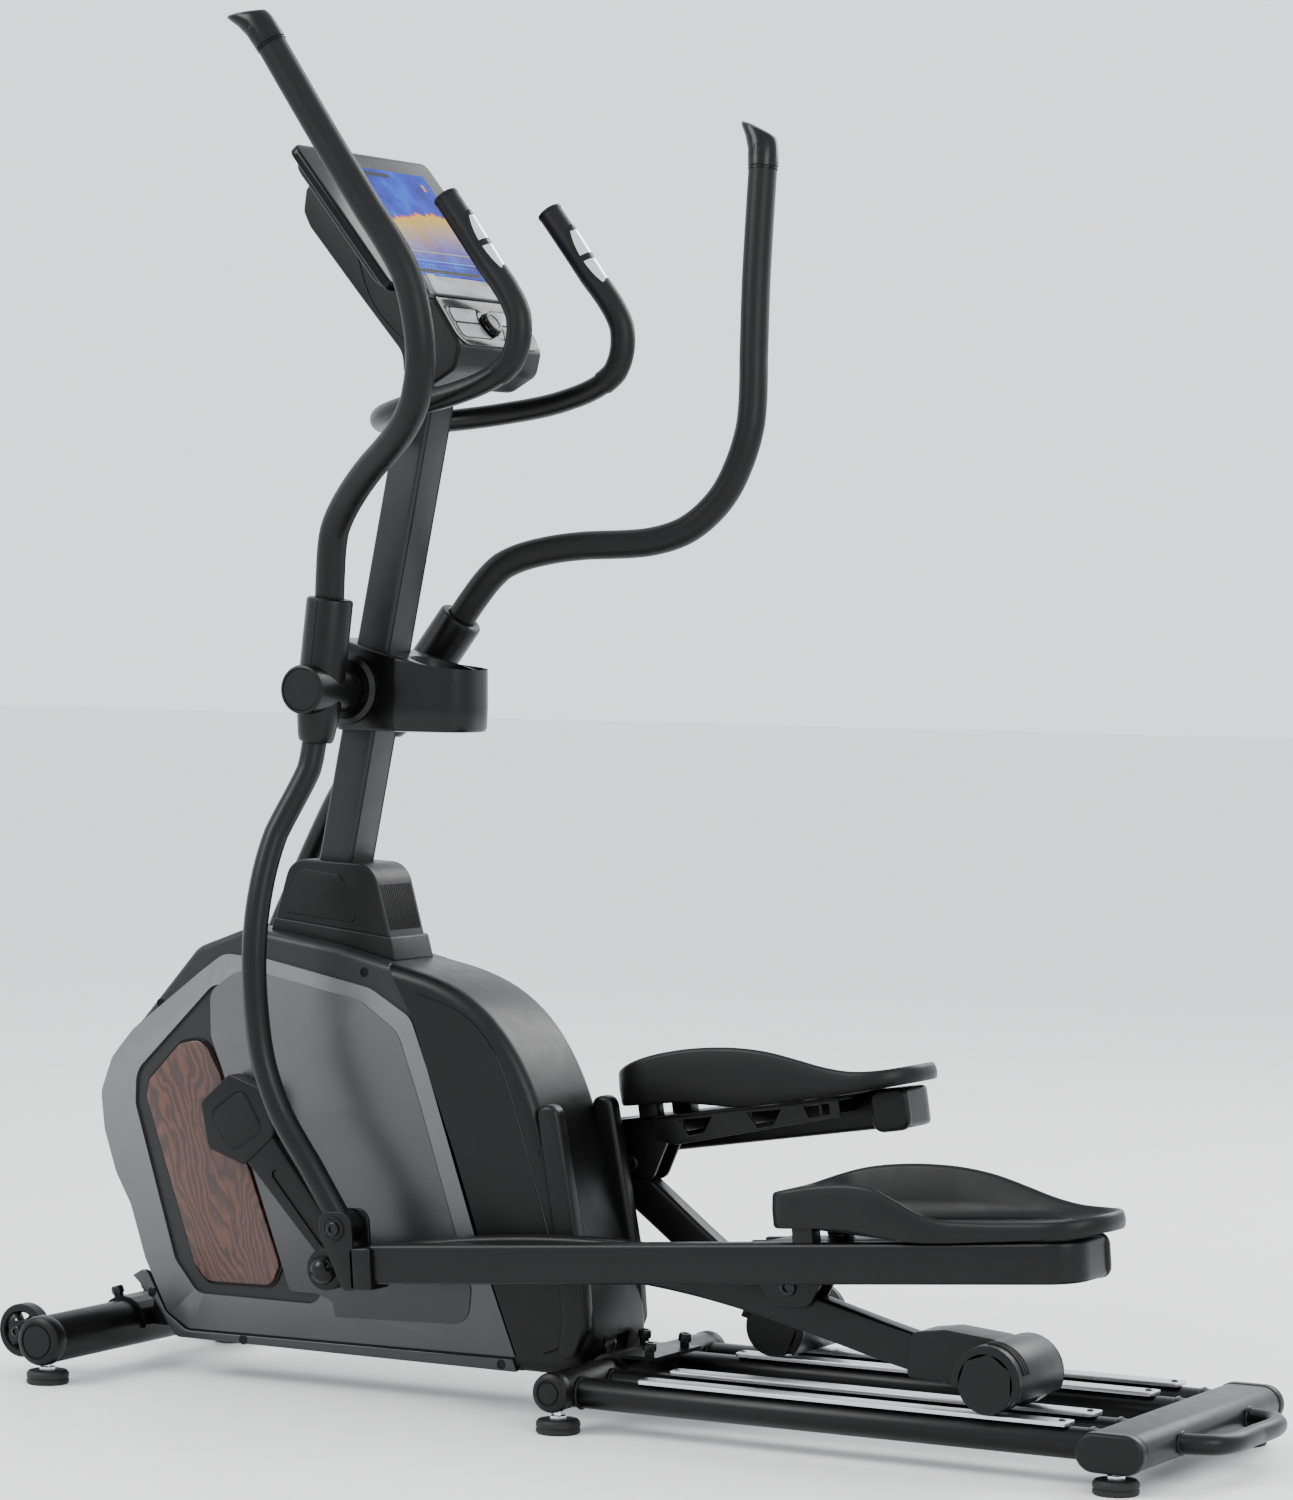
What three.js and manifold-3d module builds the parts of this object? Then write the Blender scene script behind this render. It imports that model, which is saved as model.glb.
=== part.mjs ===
// Elliptical trainer with a front drive, rear roller tracks and swinging handlebars.
// Millimetres. X runs from the front of the machine to the user, Y to the user's right, Z up.
// The origin is on the floor under the middle of the machine.
import * as THREE from 'three';
import { mergeVertices } from 'three/addons/utils/BufferGeometryUtils.js';
import Module from 'manifold-3d';

const wasm = await Module();
wasm.setup();

// ---- Driving dimensions ----

const GAP = 0.4;
const LEFT = -1;
const RIGHT = 1;
const SIDES = [['left', LEFT], ['right', RIGHT]];

// Base frame.
const FRONT_TUBE = { x: -746, z: 57, r: 31, half: 243 };
const MID_TUBE = { x: 0, z: 52, r: 24, half: 214 };
const REAR_TUBE = { x: 748, z: 49.4, width: 85, height: 45, half: 223 };
const RAIL = { ys: [-169.5, -88, 88, 169.5], z: 49.5, r: 19 };
const TRACK = { x0: 107, x1: 678, width: 30, top: 74, thick: 5 };
const LIFT_HANDLE = { x: 854.1, y: 105, z: 49.4, r: 12.5, bend: 42 };
const FOOT = { r: 27.5, pad: 18, stud: 6, nut: 11 };
const TRANSPORT_WHEEL = { x: -820, y: 165, z: 57, r: 35, half: 11, bore: 5.6 };
const BEAM = { x1: -24.6, z0: 56, z1: 96, half: 25 };

// Mast and what it carries.
const MAST = { x: -390, z: 906, slope: 0.194, depth: 50, width: 60, joint: 600, top: 1322 };
const AXLE = { x: -402, z: 906, r: 10, end: 152 };
const CUP = { x: -291, r: 40, floor: 866 };
const FIXED_BAR_R = 15;
const KEYPAD = { x: -226, z: 1372, tilt: 0.98 };
const SCREEN = { x: -345, z: 1503, tilt: 0.89 };

// Housing and drive.
const HOUSING_HALF = 80;
const CRANK = { x: -529, z: 347, r: 240, angle: -0.838 };
const PULLEY = { r: 105, y0: -53, y1: -40 };
const FLYWHEEL = { x: -290, z: 228, r: 118, half: 13, pulley: 16 };
const IDLER = { x: -398, z: 202.5, r: 18 };
const BRACKET_Y = [-63, -57];
const BELT_THICK = 3;

// Walking linkage, worked out for one side and solved for each crank angle.
const SWING_R = 680.6;
const PEDAL_PIVOT = { x: 608, z: -79 };
const ROLLER_ARM = { length: 948, pivotX: -286, pivotZ: 70 };
const ROLLER = { z: 112, r: 37.7, ys: [88, 169.5], half: 12 };

// Distances from the centre plane of the parts that pass each other.
const CRANK_ARM_Y = [86, 108];
const ROLLER_ARM_Y = [114, 144];
const HUB_Y = [62, 162];
const SLEEVE_Y = 115;
const EAR_Y = [[162, 167.5], [202.5, 208]];
const PEDAL_TUBE_Y = [170, 200];
const GUSSET_Y = [[107, 112.5], [145.5, 151]];
const FORK_Y = [64, 193];
const FORK_LOW_R = 36.5;

// ---- Materials ----

function finish(color, roughness, metalness) {
  return new THREE.MeshStandardMaterial({ color, roughness, metalness });
}
const powderCoat = finish(0x1b1c1d, 0.45, 0.2);
const blackPlastic = finish(0x151617, 0.5, 0);
const greyPanel = finish(0x7d8082, 0.4, 0.3);
const walnut = finish(0x5c3a2a, 0.5, 0);
const aluminium = finish(0xb9bcbe, 0.35, 1);
const steel = finish(0x8f9295, 0.3, 1);
const rubber = finish(0x101010, 0.85, 0);
const screenGlass = finish(0x1d62b5, 0.2, 0);
const greyPlastic = finish(0x8a8d90, 0.5, 0);

// ---- Solids ----

function toSolid(geometry) {
  geometry.deleteAttribute('normal');
  geometry.deleteAttribute('uv');
  const merged = mergeVertices(geometry, 1e-4);
  const vertProperties = Float32Array.from(merged.attributes.position.array);
  const triVerts = Uint32Array.from(merged.index.array);
  return new wasm.Manifold(new wasm.Mesh({ numProp: 3, vertProperties, triVerts }));
}

function toGeometry(solid) {
  const { vertProperties, triVerts } = solid.getMesh();
  const geometry = new THREE.BufferGeometry();
  geometry.setAttribute('position', new THREE.BufferAttribute(vertProperties, 3));
  geometry.setIndex(new THREE.BufferAttribute(triVerts, 1));
  return geometry;
}

function join(solids) {
  return solids.reduce((whole, piece) => whole.add(piece));
}

function cut(solid, tools) {
  return tools.reduce((rest, tool) => rest.subtract(tool), solid);
}

// A box from one corner to the other, leaning about the Y axis through its middle if asked.
function box([x0, x1], [y0, y1], [z0, z1]) {
  const geometry = new THREE.BoxGeometry(x1 - x0, y1 - y0, z1 - z0);
  geometry.translate((x0 + x1) / 2, (y0 + y1) / 2, (z0 + z1) / 2);
  return toSolid(geometry);
}

// A round bar along Y between two values of y.
function barY(x, z, r, y0, y1, sides = 20) {
  const geometry = new THREE.CylinderGeometry(r, r, Math.abs(y1 - y0), sides);
  geometry.translate(x, (y0 + y1) / 2, z);
  return toSolid(geometry);
}

function barX(y, z, r, x0, x1, sides = 16) {
  const geometry = new THREE.CylinderGeometry(r, r, x1 - x0, sides);
  geometry.rotateZ(Math.PI / 2);
  geometry.translate((x0 + x1) / 2, y, z);
  return toSolid(geometry);
}

// A round bar or cone between two points.
function rod(from, to, r0, r1 = r0, sides = 12) {
  const start = new THREE.Vector3(...from);
  const along = new THREE.Vector3(...to).sub(start);
  const geometry = new THREE.CylinderGeometry(r1, r0, along.length(), sides);
  geometry.translate(0, along.length() / 2, 0);
  const up = new THREE.Vector3(0, 1, 0);
  geometry.applyQuaternion(new THREE.Quaternion().setFromUnitVectors(up, along.normalize()));
  geometry.translate(start.x, start.y, start.z);
  return toSolid(geometry);
}

// A round tube bent smoothly through the given points.
function bentTube(points, r, steps, sides = 10) {
  const curve = new THREE.CatmullRomCurve3(points.map((p) => new THREE.Vector3(...p)), false, 'centripetal');
  const section = new THREE.Shape();
  section.absarc(0, 0, r, 0, Math.PI * 2);
  const options = { extrudePath: curve, steps, curveSegments: sides / 2, bevelEnabled: false };
  return toSolid(new THREE.ExtrudeGeometry(section, options));
}

// An outline with round corners: each point is [x, y, radius].
function roundShape(points) {
  const corner = (i) => points[(i + points.length) % points.length];
  const shape = new THREE.Shape();
  points.forEach((point, i) => {
    const here = new THREE.Vector2(point[0], point[1]);
    const before = new THREE.Vector2(corner(i - 1)[0], corner(i - 1)[1]).sub(here).normalize();
    const after = new THREE.Vector2(corner(i + 1)[0], corner(i + 1)[1]).sub(here).normalize();
    const wanted = (point[2] ?? 0) / Math.tan(before.angleTo(after) / 2);
    const setback = wanted > 1.5 ? wanted : 0;
    const start = here.clone().addScaledVector(before, setback);
    const end = here.clone().addScaledVector(after, setback);
    if (i === 0) shape.moveTo(start.x, start.y);
    else shape.lineTo(start.x, start.y);
    if (setback > 0) shape.quadraticCurveTo(here.x, here.y, end.x, end.y);
  });
  shape.closePath();
  return shape;
}

// The outline of a band of even width along a smooth line in the plane.
function bandShape(points, half, samples) {
  const curve = new THREE.SplineCurve(points.map((p) => new THREE.Vector2(...p)));
  const left = [];
  const right = [];
  for (let i = 0; i <= samples; i += 1) {
    const p = curve.getPointAt(i / samples);
    const t = curve.getTangentAt(i / samples);
    left.push(new THREE.Vector2(p.x - t.y * half, p.y + t.x * half));
    right.unshift(new THREE.Vector2(p.x + t.y * half, p.y - t.x * half));
  }
  return new THREE.Shape([...left, ...right]);
}

// A plate whose outline is drawn in X and Z, between two values of y.
function plate(shape, y0, y1, curveSegments = 6) {
  const [low, high] = [Math.min(y0, y1), Math.max(y0, y1)];
  const options = { depth: high - low, bevelEnabled: false, curveSegments };
  const geometry = new THREE.ExtrudeGeometry(shape, options);
  geometry.rotateX(Math.PI / 2);
  geometry.translate(0, high, 0);
  return toSolid(geometry);
}

// A slab whose outline is drawn in X and Y, between two heights.
function slab(shape, z0, z1, curveSegments = 6) {
  const geometry = new THREE.ExtrudeGeometry(shape, { depth: z1 - z0, bevelEnabled: false, curveSegments });
  geometry.translate(0, 0, z0);
  return toSolid(geometry);
}

function leaning(solid, x, z, angle) {
  return solid.translate([-x, 0, -z]).rotate([0, THREE.MathUtils.radToDeg(angle), 0]).translate([x, 0, z]);
}

// ---- Assembly helpers ----

const trainer = new THREE.Group();

function addPart(name, solid, material, parent = trainer) {
  const mesh = new THREE.Mesh(toGeometry(solid), material);
  mesh.name = name;
  parent.add(mesh);
}

function frameAt(x, z, angle) {
  const group = new THREE.Group();
  group.position.set(x, 0, z);
  group.rotation.y = angle;
  trainer.add(group);
  return group;
}

function mastX(z) {
  return MAST.x + MAST.slope * (z - MAST.z);
}

// A length of mast section between two heights, grown on every side if asked.
function mastBar(z0, z1, grow = 0) {
  const middle = (z0 + z1) / 2;
  const lean = Math.atan(MAST.slope);
  const half = (z1 - z0) / 2 / Math.cos(lean);
  const x = mastX(middle);
  const halfDepth = MAST.depth / 2 + grow;
  const bar = box([x - halfDepth, x + halfDepth], [-MAST.width / 2 - grow, MAST.width / 2 + grow],
    [middle - half, middle + half]);
  return leaning(bar, x, middle, lean);
}

// ---- Walking linkage ----

// Where two circles cross, on the side given by the sign.
function circlesCross(a, ra, b, rb, sign) {
  const between = new THREE.Vector2(b.x - a.x, b.z - a.z);
  const d = between.length();
  const along = (ra * ra - rb * rb + d * d) / (2 * d);
  const aside = sign * Math.sqrt(ra * ra - along * along);
  const u = between.divideScalar(d);
  return { x: a.x + along * u.x - aside * u.y, z: a.z + along * u.y + aside * u.x };
}

// Every pivot and angle of one side for one crank angle.
function solveSide(angle) {
  const pin = { x: CRANK.x + CRANK.r * Math.cos(angle), z: CRANK.z + CRANK.r * Math.sin(angle) };
  const drop = pin.z - ROLLER.z;
  const roller = { x: pin.x + Math.sqrt(ROLLER_ARM.length ** 2 - drop ** 2), z: ROLLER.z };
  const armTilt = Math.asin(drop / ROLLER_ARM.length);
  const [cos, sin] = [Math.cos(armTilt), Math.sin(armTilt)];
  const { pivotX, pivotZ } = ROLLER_ARM;
  const middle = { x: roller.x + pivotX * cos + pivotZ * sin, z: roller.z - pivotX * sin + pivotZ * cos };
  const reach = Math.hypot(PEDAL_PIVOT.x, PEDAL_PIVOT.z);
  const front = circlesCross(AXLE, SWING_R, middle, reach, -1);
  const swing = Math.atan2(AXLE.x - front.x, AXLE.z - front.z);
  const chord = Math.atan2(middle.z - front.z, middle.x - front.x);
  const pedalTilt = -chord + Math.atan2(PEDAL_PIVOT.z, PEDAL_PIVOT.x);
  return { roller, armTilt, front, swing, pedalTilt };
}

// ---- Base frame ----

function buildFrontStabilizer() {
  const { x, z, r, half } = FRONT_TUBE;
  const wheel = TRANSPORT_WHEEL;
  const pieces = [barY(x, z, r, -half, half, 24)];
  SIDES.forEach(([, s]) => {
    const lug = roundShape([[x, z - 22, 2], [wheel.x, z - 13, 0], [wheel.x - 13, z - 11, 10],
      [wheel.x - 13, z + 13, 10], [wheel.x, z + 14, 0], [x, z + 24, 2]]);
    [wheel.y - wheel.half - 8, wheel.y + wheel.half + 3].forEach((y) => {
      pieces.push(plate(lug, s * y, s * (y + 5), 3));
    });
    const reach = wheel.half + 7;
    pieces.push(barY(wheel.x, wheel.z, 5, s * (wheel.y - reach), s * (wheel.y + reach), 12));
  });
  addPart('front_stabilizer', join(pieces), powderCoat);
}

function buildTransportWheel(name, side) {
  const { x, y, z, r, half, bore } = TRANSPORT_WHEEL;
  const rim = [[r - 8, -half], [r - 1.5, -half], [r, 1.5 - half], [r, half - 1.5], [r - 1.5, half]];
  const profile = [...rim, [r - 8, half], [r - 8, -half]].map((p) => new THREE.Vector2(...p));
  const tread = new THREE.LatheGeometry(profile, 20);
  let wheel = toSolid(tread);
  wheel = wheel.add(cut(barY(0, 0, 11, -half, half, 14), [barY(0, 0, bore, -half - 1, half + 1, 12)]));
  for (let i = 0; i < 5; i += 1) {
    const spoke = box([9, r - 6], [-half + 4, half - 4], [-2.5, 2.5]);
    wheel = wheel.add(spoke.rotate([0, i * 72, 0]));
  }
  addPart(name, wheel.translate([x, side * y, z]), blackPlastic);
}

function stadium(x, z, width, height) {
  const r = height / 2;
  const [x0, x1] = [x - width / 2, x + width / 2];
  return roundShape([[x0, z - r, r], [x1, z - r, r], [x1, z + r, r], [x0, z + r, r]]);
}

function buildRearFrame() {
  const { x, z, width, height, half } = REAR_TUBE;
  const grown = plate(stadium(x, z, width + 2 * GAP, height + 2 * GAP), -half, half, 5);
  const midTube = barY(MID_TUBE.x, MID_TUBE.z, MID_TUBE.r, -MID_TUBE.half, MID_TUBE.half, 20);
  addPart('mid_cross_tube', midTube, powderCoat);
  addPart('rear_cross_tube', plate(stadium(x, z, width, height), -half, half, 5), powderCoat);
  const midGrown = barY(MID_TUBE.x, MID_TUBE.z, MID_TUBE.r + GAP, -MID_TUBE.half, MID_TUBE.half, 20);
  RAIL.ys.forEach((y, i) => {
    const rail = cut(barX(y, RAIL.z, RAIL.r, 8, x - 20), [midGrown, grown]);
    addPart(`rail_tube_${i + 1}`, rail, powderCoat);
    const strip = roundShape([[TRACK.x0, y - TRACK.width / 2, 5], [TRACK.x1, y - TRACK.width / 2, 5],
      [TRACK.x1, y + TRACK.width / 2, 5], [TRACK.x0, y + TRACK.width / 2, 5]]);
    addPart(`track_${i + 1}`, slab(strip, TRACK.top - TRACK.thick, TRACK.top, 3), aluminium);
  });
  const h = LIFT_HANDLE;
  const outer = h.x - h.r;
  const root = x + 20;
  const cornerX = outer - h.bend * 0.3;
  const cornerY = h.y - h.bend * 0.3;
  const loop = [[root, -h.y, h.z], [outer - h.bend, -h.y, h.z], [cornerX, -cornerY, h.z],
    [outer, h.bend - h.y, h.z], [outer, 0, h.z], [outer, h.y - h.bend, h.z],
    [cornerX, cornerY, h.z], [outer - h.bend, h.y, h.z], [root, h.y, h.z]];
  addPart('lift_handle', cut(bentTube(loop, h.r, 16), [grown]), powderCoat);
}

function buildFoot(name, x, y, top) {
  const { r, pad, stud, nut } = FOOT;
  const profile = [[0, 0], [r, 0], [r, pad - 4], [r - 4, pad], [nut, pad], [nut, pad + 3], [stud, pad + 3],
    [stud, top - GAP], [0, top - GAP]].map((p) => new THREE.Vector2(...p));
  const foot = toSolid(new THREE.LatheGeometry(profile, 14));
  addPart(name, foot.rotate([90, 0, 0]).translate([x, y, 0]), rubber);
}

function buildFeet() {
  const rows = [['front', FRONT_TUBE.x, 217, FRONT_TUBE.z - FRONT_TUBE.r], ['middle', MID_TUBE.x, 187,
    MID_TUBE.z - MID_TUBE.r], ['rear', REAR_TUBE.x, 198, REAR_TUBE.z - REAR_TUBE.height / 2]];
  rows.forEach(([row, x, y, top]) => {
    SIDES.forEach(([sideName, s]) => buildFoot(`foot_${row}_${sideName}`, x, s * y, top));
  });
}

// ---- Main frame inside the housing ----

// A clamp that wraps the top of a cross tube.
function saddle(tube, width, x0, x1) {
  const ring = cut(barY(tube.x, tube.z, tube.r + 5.5, -width, width, 20),
    [barY(tube.x, tube.z, tube.r + GAP, -width - 1, width + 1, 20)]);
  return ring.intersect(box([x0, x1], [-width, width], [tube.z - 4, tube.z + tube.r + 6]));
}

function buildMainFrame() {
  const beamStart = FRONT_TUBE.x + FRONT_TUBE.r + 2;
  const pieces = [
    box([beamStart, BEAM.x1 - 2], [-BEAM.half, BEAM.half], [BEAM.z0, BEAM.z1]),
    mastBar(90, MAST.joint - GAP),
    barY(CRANK.x, CRANK.z, 28, -36, 36),
    saddle(FRONT_TUBE, 48, -775, -700),
    saddle(MID_TUBE, 60, -40, 26),
    box([10, 66], [-60, 60], [76.6, 81.5]),
  ];
  [[-760, -34], [-760, 34]].forEach(([x, y]) => {
    pieces.push(rod([x, y, 84], [x - 5, y, 98], 7));
  });
  [[-8, -46], [-8, 46], [50, -46], [50, 46]].forEach(([x, y]) => {
    pieces.push(rod([x, y, 77], [x, y, 92], 6));
  });
  [BRACKET_Y, [18, 23]].forEach(([y0, y1]) => {
    const bracket = roundShape([[FLYWHEEL.x - 40, 90], [FLYWHEEL.x + 40, 90],
      [FLYWHEEL.x + 14, FLYWHEEL.z + 14, 13], [FLYWHEEL.x - 14, FLYWHEEL.z + 14, 13]]);
    pieces.push(plate(bracket, y0, y1, 3));
  });
  pieces.push(box([IDLER.x - 24, FLYWHEEL.x + 40], [BRACKET_Y[0], 23], [89, 95]));
  pieces.push(barY(FLYWHEEL.x, FLYWHEEL.z, 8, BRACKET_Y[0], 23, 16));
  const idlerStay = roundShape([[IDLER.x - 24, 90], [IDLER.x + 14, 90], [IDLER.x + 12, IDLER.z + 12, 11],
    [IDLER.x - 12, IDLER.z + 12, 11]]);
  pieces.push(plate(idlerStay, ...BRACKET_Y, 3), barY(IDLER.x, IDLER.z, 6, BRACKET_Y[0], -38, 14));
  const frame = cut(join(pieces), [
    barY(FRONT_TUBE.x, FRONT_TUBE.z, FRONT_TUBE.r + GAP, -60, 60, 24),
    barY(MID_TUBE.x, MID_TUBE.z, MID_TUBE.r + GAP, -70, 70, 20),
    barY(CRANK.x, CRANK.z, 10.8, -40, 40),
  ]);
  addPart('main_frame', frame, powderCoat);
}

// ---- Drive ----

// The closed path of a belt around two pulleys, at the given distance outside them.
function beltShape(clearance) {
  const [a, b] = [CRANK, FLYWHEEL];
  const [ra, rb] = [PULLEY.r + clearance, FLYWHEEL.pulley + clearance];
  const direction = Math.atan2(b.z - a.z, b.x - a.x);
  const open = Math.acos((ra - rb) / Math.hypot(b.x - a.x, b.z - a.z));
  const shape = new THREE.Shape();
  shape.absarc(a.x, a.z, ra, direction + open, direction - open + Math.PI * 2);
  shape.absarc(b.x, b.z, rb, direction - open, direction + open);
  shape.closePath();
  return shape;
}

function buildDrive() {
  addPart('crank_axle', barY(CRANK.x, CRANK.z, 10, -103, 103), steel);
  const web = barY(CRANK.x, CRANK.z, PULLEY.r, PULLEY.y0, PULLEY.y1, 36);
  const holes = [barY(CRANK.x, CRANK.z, 10.6, -60, -30)];
  for (let i = 0; i < 6; i += 1) {
    const a = i * Math.PI / 3;
    holes.push(barY(CRANK.x + 62 * Math.cos(a), CRANK.z + 62 * Math.sin(a), 21, -60, -30, 10));
  }
  addPart('drive_pulley', cut(web, holes), blackPlastic);

  const rotor = join([
    barY(FLYWHEEL.x, FLYWHEEL.z, FLYWHEEL.r, -FLYWHEEL.half, FLYWHEEL.half, 36),
    barY(FLYWHEEL.x, FLYWHEEL.z, FLYWHEEL.pulley, PULLEY.y0, 16),
  ]);
  addPart('flywheel', cut(rotor, [barY(FLYWHEEL.x, FLYWHEEL.z, 8.7, -70, 70, 16)]), steel);

  const belt = plate(beltShape(BELT_THICK + 1), PULLEY.y0 + 1, PULLEY.y1 - 1, 9);
  const inside = plate(beltShape(1), PULLEY.y0 - 5, PULLEY.y1 + 5, 9);
  addPart('drive_belt', belt.subtract(inside), rubber);

  const idler = cut(barY(IDLER.x, IDLER.z, IDLER.r, PULLEY.y0, PULLEY.y1), [
    barY(IDLER.x, IDLER.z, 6.7, -60, -30, 14)]);
  addPart('idler_pulley', idler, steel);

  const shoe = cut(barY(FLYWHEEL.x, FLYWHEEL.z, FLYWHEEL.r + 22, -22, 22, 36), [
    barY(FLYWHEEL.x, FLYWHEEL.z, FLYWHEEL.r + 5, -30, 30, 36),
    box([-800, FLYWHEEL.x + 20], [-30, 30], [0, 600]),
    box([-800, 100], [-30, 30], [0, FLYWHEEL.z - 10])]);
  addPart('magnet_brake', shoe, steel);
}

function buildCrankArm(name, side, angle) {
  const arm = frameAt(CRANK.x, CRANK.z, -angle);
  const [y0, y1] = CRANK_ARM_Y;
  const head = new THREE.Shape();
  for (let i = 0; i < 6; i += 1) {
    const a = (i + 0.5) * Math.PI / 3;
    head.lineTo(60 * Math.cos(a), 60 * Math.sin(a));
  }
  const bar = roundShape([[20, -26, 0], [CRANK.r, -18, 6], [CRANK.r + 20, -14, 12], [CRANK.r + 20, 14, 12],
    [CRANK.r, 18, 6], [20, 26, 0]]);
  const pieces = [plate(head, side * y0, side * y1), plate(bar, side * y0, side * (y1 - 2))];
  const bore = barY(0, 0, 10.6, side * (y0 - 2), side * (y1 - 4));
  addPart(name, cut(join(pieces), [bore]), powderCoat, arm);
}

// ---- Housing ----

const HOUSING_OUTLINE = [[-538, 594, 42], [-616, 565, 40], [-711, 457, 30], [-762, 388, 60],
  [-738, 276, 30], [-688, 138, 30], [-673, 97, 20], [-622, 53, 30], [-58, 50, 40], [-22, 84, 30],
  [-20, 128, 30], [-48, 223, 30], [-92, 370, 60], [-140, 470, 60], [-210, 528, 60], [-325, 556, 20]];
const SEAM = [[-322, 700], [-322, 556], [-282, 489], [-186, 217], [-124, 66], [-116, 0]];

function housingBlock(half, edge, inset) {
  const options = { depth: 2 * (half - edge), bevelEnabled: true, bevelThickness: edge, bevelSize: edge,
    bevelOffset: -edge - inset, bevelSegments: 1, curveSegments: 4 };
  const geometry = new THREE.ExtrudeGeometry(roundShape(HOUSING_OUTLINE), options);
  geometry.rotateX(Math.PI / 2);
  geometry.translate(0, half - edge, 0);
  return toSolid(geometry);
}

function buildHousing() {
  const openings = [
    mastBar(500, 640, 2),
    barY(CRANK.x, CRANK.z, 15, -100, 100),
    box([-800, 100], [-BEAM.half - 2, BEAM.half + 2], [20, BEAM.z1 + 2]),
    box([-48, 100], [-66, 66], [10, 92]),
    barY(FRONT_TUBE.x, FRONT_TUBE.z, FRONT_TUBE.r + 8, -60, 60),
    barY(MID_TUBE.x, MID_TUBE.z, MID_TUBE.r + 8, -100, 100),
  ];
  const block = housingBlock(HOUSING_HALF, 9, 0);
  const shell = cut(block, [housingBlock(HOUSING_HALF - 4, 6, 4), ...openings]);
  const behindSeam = plate(roundShape([...SEAM, [200, 0], [200, 700]]), -120, 120);
  const seamAhead = SEAM.map(([x, z]) => [x - GAP, z]);
  const aheadOfSeam = plate(roundShape([...seamAhead, [-900, 0], [-900, 700]]), -120, 120);
  const sides = shell.intersect(aheadOfSeam);
  SIDES.forEach(([sideName, s]) => {
    const half = sides.intersect(box([-900, 200], s < 0 ? [-100, -GAP / 2] : [GAP / 2, 100], [0, 700]));
    addPart(`housing_${sideName}`, half, greyPanel);
    const inlay = roundShape([[-645, 440, 20], [-590, 440, 40], [-470, 132, 22], [-620, 122, 30],
      [-706, 376, 22]]);
    const near = HOUSING_HALF + GAP;
    const hole = barY(CRANK.x, CRANK.z, 66, s * 70, s * 90, 24);
    addPart(`wood_panel_${sideName}`, cut(plate(inlay, s * near, s * (near + 3)), [hole]), walnut);
  });
  addPart('housing_rear_band', shell.intersect(behindSeam), blackPlastic);
}

// ---- Mast group ----

function buildMast() {
  const mast = cut(mastBar(MAST.joint, MAST.top), [barY(AXLE.x, AXLE.z, AXLE.r + 0.6, -60, 60)]);
  addPart('mast', mast, powderCoat);
  addPart('swing_axle', barY(AXLE.x, AXLE.z, AXLE.r, -AXLE.end, AXLE.end), steel);
  const bootSide = roundShape([[-518, 591.2, 4], [-488, 682, 26], [-362, 679, 30], [-326, 557.2, 4]]);
  addPart('mast_boot', cut(plate(bootSide, -46, 46), [mastBar(540, 700, 0.5)]), blackPlastic);
}

function buildBottleHolder() {
  const plan = roundShape([[-430, -49, 22], [-232, -49, 45], [-232, 49, 45], [-430, 49, 22]]);
  const body = slab(plan, 852, 974);
  const rings = [[-61, -45], [45, 61]].map(([y0, y1]) => barY(AXLE.x, AXLE.z, 46, y0, y1, 24));
  const slope = roundShape([[-440, 974], [-395, 972], [-225, 922], [-225, 1000], [-440, 1000]]);
  const pocket = new THREE.Shape();
  pocket.absellipse(CUP.x, 0, CUP.r + 4, CUP.r, 0, Math.PI * 2);
  const holder = cut(join([body, ...rings]), [
    plate(slope, -60, 60),
    mastBar(840, 990, 0.5),
    barY(AXLE.x, AXLE.z, AXLE.r + 0.6, -70, 70),
    slab(pocket, CUP.floor, 1000, 6),
  ]);
  addPart('bottle_holder', holder, blackPlastic);
}

function buildFixedHandlebar() {
  const half = [[-215, 130, 1527], [-150, 131, 1441], [-106, 132, 1376], [-116, 133, 1318], [-182, 133, 1284],
    [-262, 124, 1267], [-326, 88, 1256], [-360, 40, 1250]];
  const near = half.map(([x, y, z]) => [x, -y, z]);
  const far = [...half].reverse();
  const pieces = [bentTube([...near, [mastX(1250) - 42, 0, 1249], ...far], FIXED_BAR_R, 28)];
  SIDES.forEach(([, s]) => {
    pieces.push(rod([-192, s * 130.4, 1497], [-136, s * 131.4, 1420], 18.5));
  });
  pieces.push(box([mastX(1250) - 42, mastX(1250) - 20], [-24, 24], [1222, 1276]));
  addPart('fixed_handlebar', cut(join(pieces), [mastBar(1180, 1330, GAP)]), powderCoat);
}

// ---- Console ----

// Buttons and the knob are placed on the keypad by their distance across and down it.
const BUTTONS = [['upper_left', -62, 13], ['lower_left', -62, -13], ['upper_right', 62, 13],
  ['lower_right', 62, -13]];
const BUTTON = { width: 42, height: 18, thick: 6, proud: 2 };

function onKeypad(solid) {
  return solid.rotate([0, THREE.MathUtils.radToDeg(KEYPAD.tilt), 0]).translate([KEYPAD.x, 0, KEYPAD.z]);
}

function onScreenPlane(solid) {
  return solid.rotate([0, THREE.MathUtils.radToDeg(SCREEN.tilt), 0]).translate([SCREEN.x, 0, SCREEN.z]);
}

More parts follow.
